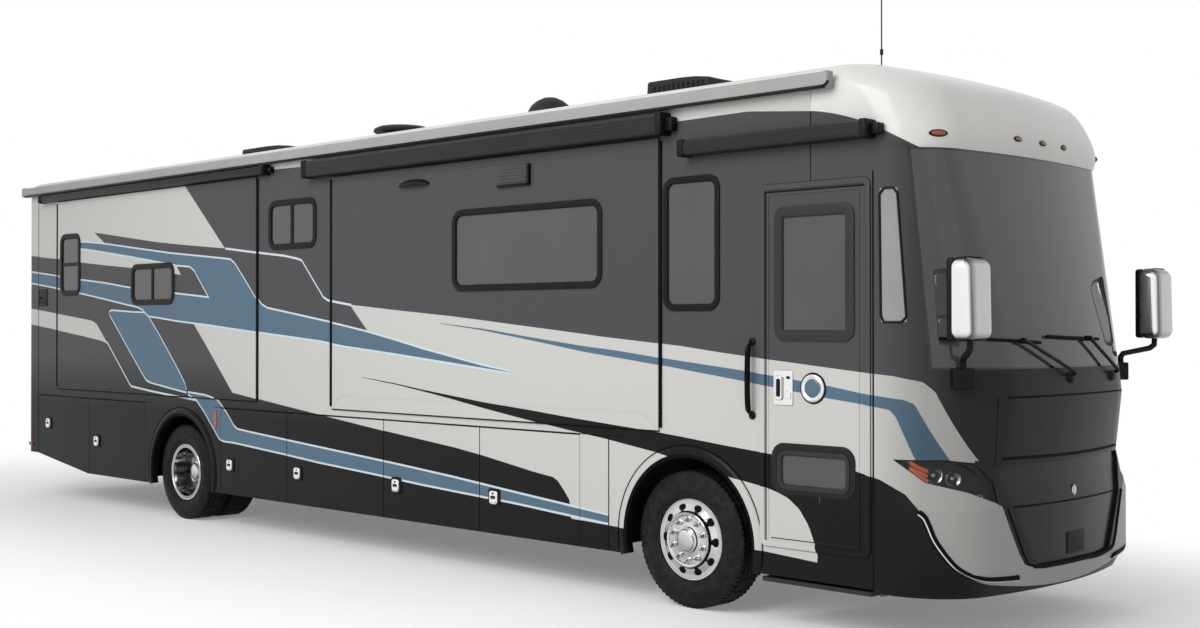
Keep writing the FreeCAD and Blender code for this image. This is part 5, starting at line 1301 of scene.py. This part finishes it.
class MOTORHOME_OT_markers(Operator):
    """Amber marker lamps on the roof cap"""
    bl_idname = "motorhome.markers"
    bl_label = "Roof marker lamps"

    def execute(self, context):
        lamp_length = context.scene.motorhome_trim.lamp_length
        lenses, bases = [], []
        for x, y, z, size in ((6.5, -1.25, 3.354, 1.25), (6.8, -0.35, 3.37, 1.0), (6.8, 0.0, 3.37, 1.0),
                              (6.8, 0.35, 3.37, 1.0), (6.5, 1.25, 3.354, 1.25)):
            spot, out = on_skin("roof_cap", (x, y, z))
            lean = math.degrees(math.atan2(out.y, out.x))
            for store, wide, deep, tall in ((bases, 1.25, 0.010, 0.020), (lenses, 1.0, 0.020, 0.014)):
                lamp = ball(deep, lamp_length * size * wide / 2, tall * size)
                store.append(moved(turned(lamp, lean, "Z"), *spot))
        make_piece("roof_marker_bases", "coach", "black", *bases)
        make_piece("roof_marker_lenses", "coach", "amber", *lenses)
        return {"FINISHED"}


class MOTORHOME_OT_mirrors(Operator):
    """Chrome mirror heads on black arms"""
    bl_idname = "motorhome.mirrors"
    bl_label = "Mirrors"

    def execute(self, context):
        x1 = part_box("mirrors")[1].x
        shells, arms, panes, lamps, rims = [], [], [], [], []
        for side in (-1, 1):
            shell = block(x1 - 0.188, x1 - 0.001, -1.464, -1.186, 1.997, 2.524, 0.066, 8)
            for vert in shell.verts:
                rise = (vert.co.z - 1.995) / 0.53
                if vert.co.x > x1 - 0.06:
                    vert.co.x -= 0.030 * max(0.0, rise - 0.72) ** 2 * 12
            shells += sided(side, shell)
            rim = block(x1 - 0.197, x1 - 0.135, -1.458, -1.192, 2.003, 2.518, 0.022, 4)
            rims += sided(side, rim)
            for z0, z1 in ((2.20, 2.475), (2.045, 2.175)):
                pane = block(x1 - 0.1995, x1 - 0.1945, -1.425, -1.225, z0, z1, 0.004, 2)
                panes += sided(side, pane)
            foot, out = on_skin("front_mask", (6.68, -1.325, 1.785))
            lean = math.degrees(math.atan2(out.y, out.x))
            pad = turned(block(0.003, 0.086, -0.070, 0.070, -0.068, 0.062, 0.010), lean, "Z")
            arms += sided(side, moved(pad, *foot))
            start = foot + out * 0.050 + Vector((0, 0, 0.03))
            elbow = Vector((x1 - 0.115, -1.315, 1.930))
            rise = start + Vector((0, 0, 0.090))
            over = elbow - rise
            route = [start, rise - Vector((0, 0, 0.022)), rise + over * 0.08, elbow - over * 0.08,
                     elbow + Vector((0.012, -0.006, 0.022)), Vector((x1 - 0.100, -1.325, 2.03))]
            arm = rod(route, 0.0215, False, 4)
            arms += sided(side, arm)
            spot = rise + over * 0.62
            lamp = moved(turned(block(0.014, 0.026, -0.016, 0.016, -0.011, 0.011, 0.004), -45, "Z"), *spot)
            lamps += sided(side, lamp)
        heads = make_piece("mirror_heads", "coach", "chrome", *shells, sharp=60)
        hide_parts("mirrors")
        make_piece("mirror_rims", "coach", "black", *rims)
        make_piece("mirror_arms", "coach", "black", *arms, sharp=50)
        make_piece("mirror_panes", "coach", "mirror", *panes)
        make_piece("mirror_lamps", "coach", "amber", *lamps)
        return {"FINISHED"}


class MOTORHOME_OT_wipers(Operator):
    """Blades on the windshield and bosses at the feet of the arms"""
    bl_idname = "motorhome.wipers"
    bl_label = "Wiper blades"

    def execute(self, context):
        blades = []
        for points in (((6.326, -1.16, 2.010), (6.435, -1.06, 2.008), (6.525, -0.928, 2.004), (6.605, -0.62, 1.990),
                        (6.626, -0.418, 1.978)),
                       ((6.626, -0.321, 2.020), (6.637, -0.06, 2.010), (6.637, 0.10, 2.006), (6.632, 0.23, 2.004),
                        (6.62, 0.42, 1.996))):
            blades.append(skin_line("windshield", points, 0.018, 0.011))
            blades.append(skin_line("windshield", points, 0.006, 0.005))
            spot, _ = on_skin("windshield", points[3], 0.028)
            knuckle = block(-0.012, 0.012, -0.035, 0.035, -0.016, 0.016, 0.005)
            blades.append(moved(knuckle, *spot))
        make_piece("wiper_blades", "coach", "rubber", *blades)
        bases = []
        for y in (-0.085, 0.620):
            spot, _ = on_skin("front_mask", (6.9, y, 1.765))
            cap = lathe([(0.0, 0.040), (-0.016, 0.036), (-0.026, 0.026), (-0.030, 0.0)], 24)
            turned(cap, 90, "Z")
            bases.append(moved(cap, *spot))
        make_piece("wiper_bosses", "coach", "black", *bases)
        return {"FINISHED"}


class MOTORHOME_OT_roof(Operator):
    """Air conditioner shrouds with their grilles, aerial dome and roof vent"""
    bl_idname = "motorhome.roof"
    bl_label = "Roof equipment"

    def execute(self, context):
        shrouds, grilles = [], []
        for x0, x1, top in ((2.95, 3.68, 4.163), (-3.38, -2.40, 4.118)):
            middle = (x0 + x1) / 2
            shroud = block(x0, x1, -0.308, 0.308, 3.905, top)
            bmesh.ops.subdivide_edges(shroud, edges=[e for e in shroud.edges if e.calc_length() > 0.4], cuts=3,
                                      use_grid_fill=True)
            for vert in shroud.verts:
                if vert.co.z > 4.0:
                    reach = (vert.co.x - middle) / (x1 - x0) * 2
                    vert.co.z -= 0.030 * max(reach, 0.0) ** 2
                    vert.co.y *= 0.94
                    vert.co.x = middle + (vert.co.x - middle) * (0.90 if reach > 0 else 0.99)
            bmesh.ops.bevel(shroud, geom=[e for e in shroud.edges if e.calc_face_angle(0) > 0.5], offset=0.022,
                            segments=4, profile=0.5, affect="EDGES", material=-1)
            shrouds.append(shroud)
            shrouds.append(block(x0 - 0.008, x1 + 0.008, -0.3095, 0.3095, 3.903, 3.925, 0.006))
            for side in (-1, 1):
                for i in range(11):
                    x = x0 + 0.07 + i * (x1 - x0 - 0.14) / 11
                    slat = block(x, x + 0.03, side * 0.300 - 0.006, side * 0.300 + 0.004, 3.965, top - 0.045, 0.003,
                                 1)
                    shrouds.append(slat)
            for i in range(11):
                y = -0.235 + i * 0.047
                shrouds.append(block(x0 - 0.003, x0 + 0.02, y - 0.009, y + 0.009, 3.965, top - 0.040, 0.003, 1))
                grilles.append(block(x0 + 0.10, x0 + 0.40, y - 0.007, y + 0.007, top - 0.006, top + 0.001))
        units = make_piece("air_conditioner_shrouds", "coach", "unit", *shrouds, sharp=30)
        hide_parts("roof_equipment")
        make_piece("air_conditioner_grilles", "coach", "black", *grilles, slot="unit_plastic")
        dome = lathe([(0.0, 0.224), (0.02, 0.224), (0.03, 0.214), (0.09, 0.205), (0.15, 0.172), (0.195, 0.118),
                      (0.222, 0.058), (0.230, 0.0)], 48)
        turned(dome, 90, "X")
        make_piece("aerial_dome", "coach", "unit", moved(dome, 1.88, -0.40, 3.908))
        vent = lathe([(0.0, 0.200), (0.10, 0.200), (0.105, 0.285), (0.120, 0.289), (0.140, 0.280), (0.160, 0.235),
                       (0.172, 0.14), (0.176, 0.0)], 48)
        turned(vent, 90, "X")
        make_piece("roof_vent", "coach", "unit", moved(vent, -0.25, -0.40, 3.908))
        return {"FINISHED"}


class MOTORHOME_OT_rear(Operator):
    """Louvres, lamps and trim of the tail"""
    bl_idname = "motorhome.rear"
    bl_label = "Rear trim"

    def execute(self, context):
        slats = []
        for i in range(11):
            z = 0.98 + i * 0.040
            slat = block(tail_x - 0.006, tail_x + 0.004, -0.58, 0.58, z, z + 0.022, 0.003, 1)
            slats.append(turned(slat, -12, "Y", (tail_x, 0, z)))
        slats.append(block(tail_x - 0.0045, tail_x + 0.002, -0.61, 0.61, 0.955, 1.435, 0.002, 1))
        make_piece("engine_door_louvres", "engine_door", "black", *slats)
        make_piece("engine_door_latch", "engine_door", "chrome",
                   block(tail_x - 0.008, tail_x + 0.002, -0.09, 0.09, 0.70, 0.75, 0.006))
        make_piece("number_plate_blank", "engine_door", "cap",
                   block(tail_x - 0.005, tail_x + 0.002, -0.16, 0.16, 0.78, 0.93, 0.003))
        lamps = []
        for y in (-1.08, -0.28, 0.0, 0.28, 1.08):
            lamps.append(block(tail_x - 0.006, tail_x + 0.01, y - 0.045, y + 0.045, 3.56, 3.585, 0.006))
        make_piece("tail_marker_lamps", "coach", "red", *lamps)
        bezels = []
        for side in (-1, 1):
            for z0, z1 in ((0.885, 0.9), (1.35, 1.365), (1.045, 1.052), (1.20, 1.207)):
                y0, y1 = sorted((side * 1.0, side * 1.16))
                bezels.append(block(tail_x - 0.006, tail_x + 0.01, y0, y1, z0, z1, 0.003, 1))
            for y in (0.995, 1.15):
                y0, y1 = sorted((side * y, side * (y + 0.015)))
                bezels.append(block(tail_x - 0.006, tail_x + 0.01, y0, y1, 0.885, 1.365, 0.003, 1))
        make_piece("tail_lamp_bezels", "coach", "chrome", *bezels)
        grille = []
        for i in range(13):
            z = 0.64 + i * 0.042
            grille.append(side_plate(-6.28, -5.20, z, z + 0.024, 0, sunk, 0.008, 0.003))
        grille.append(side_plate(-6.32, -5.16, 0.61, 1.20, 0.02, sunk, 0.010, 0.004, 0.035))
        make_piece("radiator_grille", "coach", "black", *sided(1, *grille))
        return {"FINISHED"}


class MOTORHOME_OT_seats(Operator):
    """Padded captain's chairs with head restraints and arm rests"""
    bl_idname = "motorhome.seats"
    bl_label = "Cab seats"

    def execute(self, context):
        pads = []
        for label, x, y in (("driver", front_axle_x + 1.05, 0.6), ("passenger", front_axle_x + 0.25, -0.6)):
            for part, span, fill in (
                    ("cushion", (x - 0.20, x + 0.26, y - 0.25, y + 0.25, 1.645, 1.785), 0.8),
                    ("backrest", (x - 0.325, x - 0.205, y - 0.245, y + 0.245, 1.72, 2.22), 0.8),
                    ("headrest", (x - 0.31, x - 0.215, y - 0.14, y + 0.14, 2.25, 2.41), 0.9)):
                pad = block(*span, 0.035, 3)
                bmesh.ops.subdivide_edges(pad, edges=[e for e in pad.edges if e.calc_length() > 0.08], cuts=5,
                                          use_grid_fill=True)
                x0, x1, y0, y1, z0, z1 = span
                thin = 0 if part != "cushion" else 2
                mid = Vector(((x0 + x1) / 2, (y0 + y1) / 2, (z0 + z1) / 2))
                for vert in pad.verts:
                    u = (vert.co.y - mid.y) / (y1 - y0) * 2
                    v = ((vert.co.z - mid.z) / (z1 - z0) if thin == 0 else (vert.co.x - mid.x) / (x1 - x0)) * 2
                    pull = 1 - 0.22 * max(u * u, v * v)
                    vert.co[thin] = mid[thin] + (vert.co[thin] - mid[thin]) * pull
                smoothed(pad, 0.4)
                piece = make_piece("%s_seat_%s" % (label, part), "coach", "leather", pad, sharp=60)
                pads.append(piece)
            frame_parts = [block(x - 0.15, x + 0.15, y - 0.15, y + 0.15, 1.242, 1.64, 0.03)]
            for side in (-1, 1):
                frame_parts.append(block(x - 0.27, x + 0.12, y + side * 0.285 - 0.03, y + side * 0.285 + 0.03, 1.93,
                                         1.98, 0.018))
                frame_parts.append(rod([(x - 0.265, y + side * 0.08, 2.20), (x - 0.265, y + side * 0.08, 2.28)],
                                       0.008))
                bar_y = y + side * 0.12
                frame_parts.append(rod([(x - 0.10, bar_y, 1.630), (x - 0.24, bar_y, 1.625), (x - 0.352, bar_y, 1.70),
                                        (x - 0.352, bar_y, 2.05)], 0.013))
                frame_parts.append(rod([(x - 0.262, y + side * 0.29, 1.955), (x - 0.262, y + side * 0.20, 1.955)],
                                       0.015))
            make_piece(label + "_seat_frame", "coach", "black", *frame_parts)
        swell(pads, voxel=0.013, pressure=4.0, cap=0.014)
        for label in ("driver", "passenger"):
            seams = []
            for pad in pads:
                if pad.name.startswith(label):
                    seams += welts(pad, thin=2 if pad.name.endswith("cushion") else 0, radius=0.005)
            make_piece(label + "_seat_welts", "coach", "black", *seams)
        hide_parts("front_seats")
        return {"FINISHED"}


camera_place = (11.475, -9.522, 2.094)
camera_heading = 44.521
camera_rise = 0.453
camera_lens = 44.41


class MOTORHOME_OT_stage(Operator):
    """Pale floor, soft lamps, white surroundings and the camera"""
    bl_idname = "motorhome.stage"
    bl_label = "Studio"

    def execute(self, context):
        setup = context.scene.motorhome_stage
        scene = context.scene
        floor = bmesh.new()
        bmesh.ops.create_grid(floor, x_segments=1, y_segments=1, size=setup.floor_size / 2)
        mesh = bpy.data.meshes.new("studio_floor")
        floor.to_mesh(mesh)
        floor.free()
        material, tree, shader, where = new_material("studio_floor", 0.75, shine=0.1)
        shade = mix(tree, ramp(tree, noise(tree, where, 0.4, 2.0), 0.3, 0.7, 0, 1), (0.92, 0.92, 0.92),
                    (0.95, 0.95, 0.95))
        tree.links.new(shade, shader.inputs["Base Color"])
        seen = seen_rays(tree)
        squeezed = add(tree, "Mapping", where, None, None, (1 / 6.75, 1 / 2.7, 1.0)).outputs[0]
        reach = add(tree, "VectorMath", squeezed, operation="LENGTH").outputs["Value"]
        fade = add(tree, "MapRange", reach, 0.90, 2.00, 0.20, 1.0, interpolation_type="SMOOTHSTEP").outputs[0]
        glow = add(tree, "Emission", (1, 1, 1, 1), 1.0)
        blend = add(tree, "MixShader", sums(tree, "MULTIPLY", seen, fade), shader.outputs[0], glow.outputs[0])
        tree.links.new(blend.outputs[0], tree.nodes["Material Output"].inputs["Surface"])
        mesh.materials.append(material)
        ground = bpy.data.objects.new("studio_floor", mesh)
        scene.collection.objects.link(ground)

        world = bpy.data.worlds.new("studio_world")
        scene.world = world
        world.use_nodes = True
        tree = world.node_tree
        back = tree.nodes["Background"]
        seen = seen_rays(tree)
        tree.links.new(ramp(tree, seen, 0, 1, setup.sky, 1.0), back.inputs["Strength"])
        back.inputs["Color"].default_value = (1, 1, 1, 1)

        for name, power, size, place, aim in (
                ("key_lamp", setup.key, 9.0, (3.4, -12.5, 9.5), (1.6, -1.0, 1.6)),
                ("fill_lamp", setup.fill, 6.0, (15.0, -3.0, 6.5), (5.5, 0.0, 1.5))):
            data = bpy.data.lights.new(name, "AREA")
            data.energy = power
            data.size = size
            lamp = bpy.data.objects.new(name, data)
            lamp.location = place
            lamp.rotation_euler = (Vector(aim) - Vector(place)).to_track_quat("-Z", "Y").to_euler()
            scene.collection.objects.link(lamp)

        data = bpy.data.cameras.new("camera")
        data.sensor_width = 36.0
        data.lens = camera_lens
        data.clip_end = 300.0
        camera = bpy.data.objects.new("camera", data)
        camera.location = camera_place
        yaw, rise = math.radians(camera_heading), math.radians(camera_rise)
        way = Vector((-math.sin(yaw) * math.cos(rise), math.cos(yaw) * math.cos(rise), math.sin(rise)))
        camera.rotation_euler = way.to_track_quat("-Z", "Y").to_euler()
        scene.collection.objects.link(camera)
        scene.camera = camera
        scene.view_settings.view_transform = "Standard"
        return {"FINISHED"}


class MOTORHOME_PT_panel(Panel):
    """The motorhome's settings and the operators that build it"""
    bl_idname = "MOTORHOME_PT_panel"
    bl_label = "Motorhome"
    bl_space_type = "VIEW_3D"
    bl_region_type = "UI"
    bl_category = "Motorhome"

    def draw(self, context):
        for group in (context.scene.motorhome_paint, context.scene.motorhome_trim, context.scene.motorhome_wheels,
                      context.scene.motorhome_stage):
            column = self.layout.column(align=True)
            for name in group.__annotations__:
                column.prop(group, name)
        for operator in PIECES:
            self.layout.operator(operator.bl_idname)


PIECES = (
    MOTORHOME_OT_paint, MOTORHOME_OT_windows, MOTORHOME_OT_slides, MOTORHOME_OT_latches, MOTORHOME_OT_entry,
    MOTORHOME_OT_seams, MOTORHOME_OT_awnings, MOTORHOME_OT_arches, MOTORHOME_OT_tyres, MOTORHOME_OT_wheels,
    MOTORHOME_OT_front, MOTORHOME_OT_headlamps, MOTORHOME_OT_markers, MOTORHOME_OT_mirrors, MOTORHOME_OT_wipers,
    MOTORHOME_OT_roof, MOTORHOME_OT_rear, MOTORHOME_OT_seats, MOTORHOME_OT_stage,
)
GROUPS = {
    "motorhome_paint": MotorhomePaint,
    "motorhome_trim": MotorhomeTrim,
    "motorhome_wheels": MotorhomeWheels,
    "motorhome_stage": MotorhomeStage,
}


def register():
    for kind in (*GROUPS.values(), *PIECES, MOTORHOME_PT_panel):
        bpy.utils.register_class(kind)
    for name, kind in GROUPS.items():
        setattr(bpy.types.Scene, name, PointerProperty(type=kind))


def unregister():
    for name in GROUPS:
        delattr(bpy.types.Scene, name)
    for kind in reversed((*GROUPS.values(), *PIECES, MOTORHOME_PT_panel)):
        bpy.utils.unregister_class(kind)


def main():
    register()
    for operator in PIECES:
        group, name = operator.bl_idname.split(".")
        getattr(getattr(bpy.ops, group), name)()


if __name__ == "__main__":
    main()
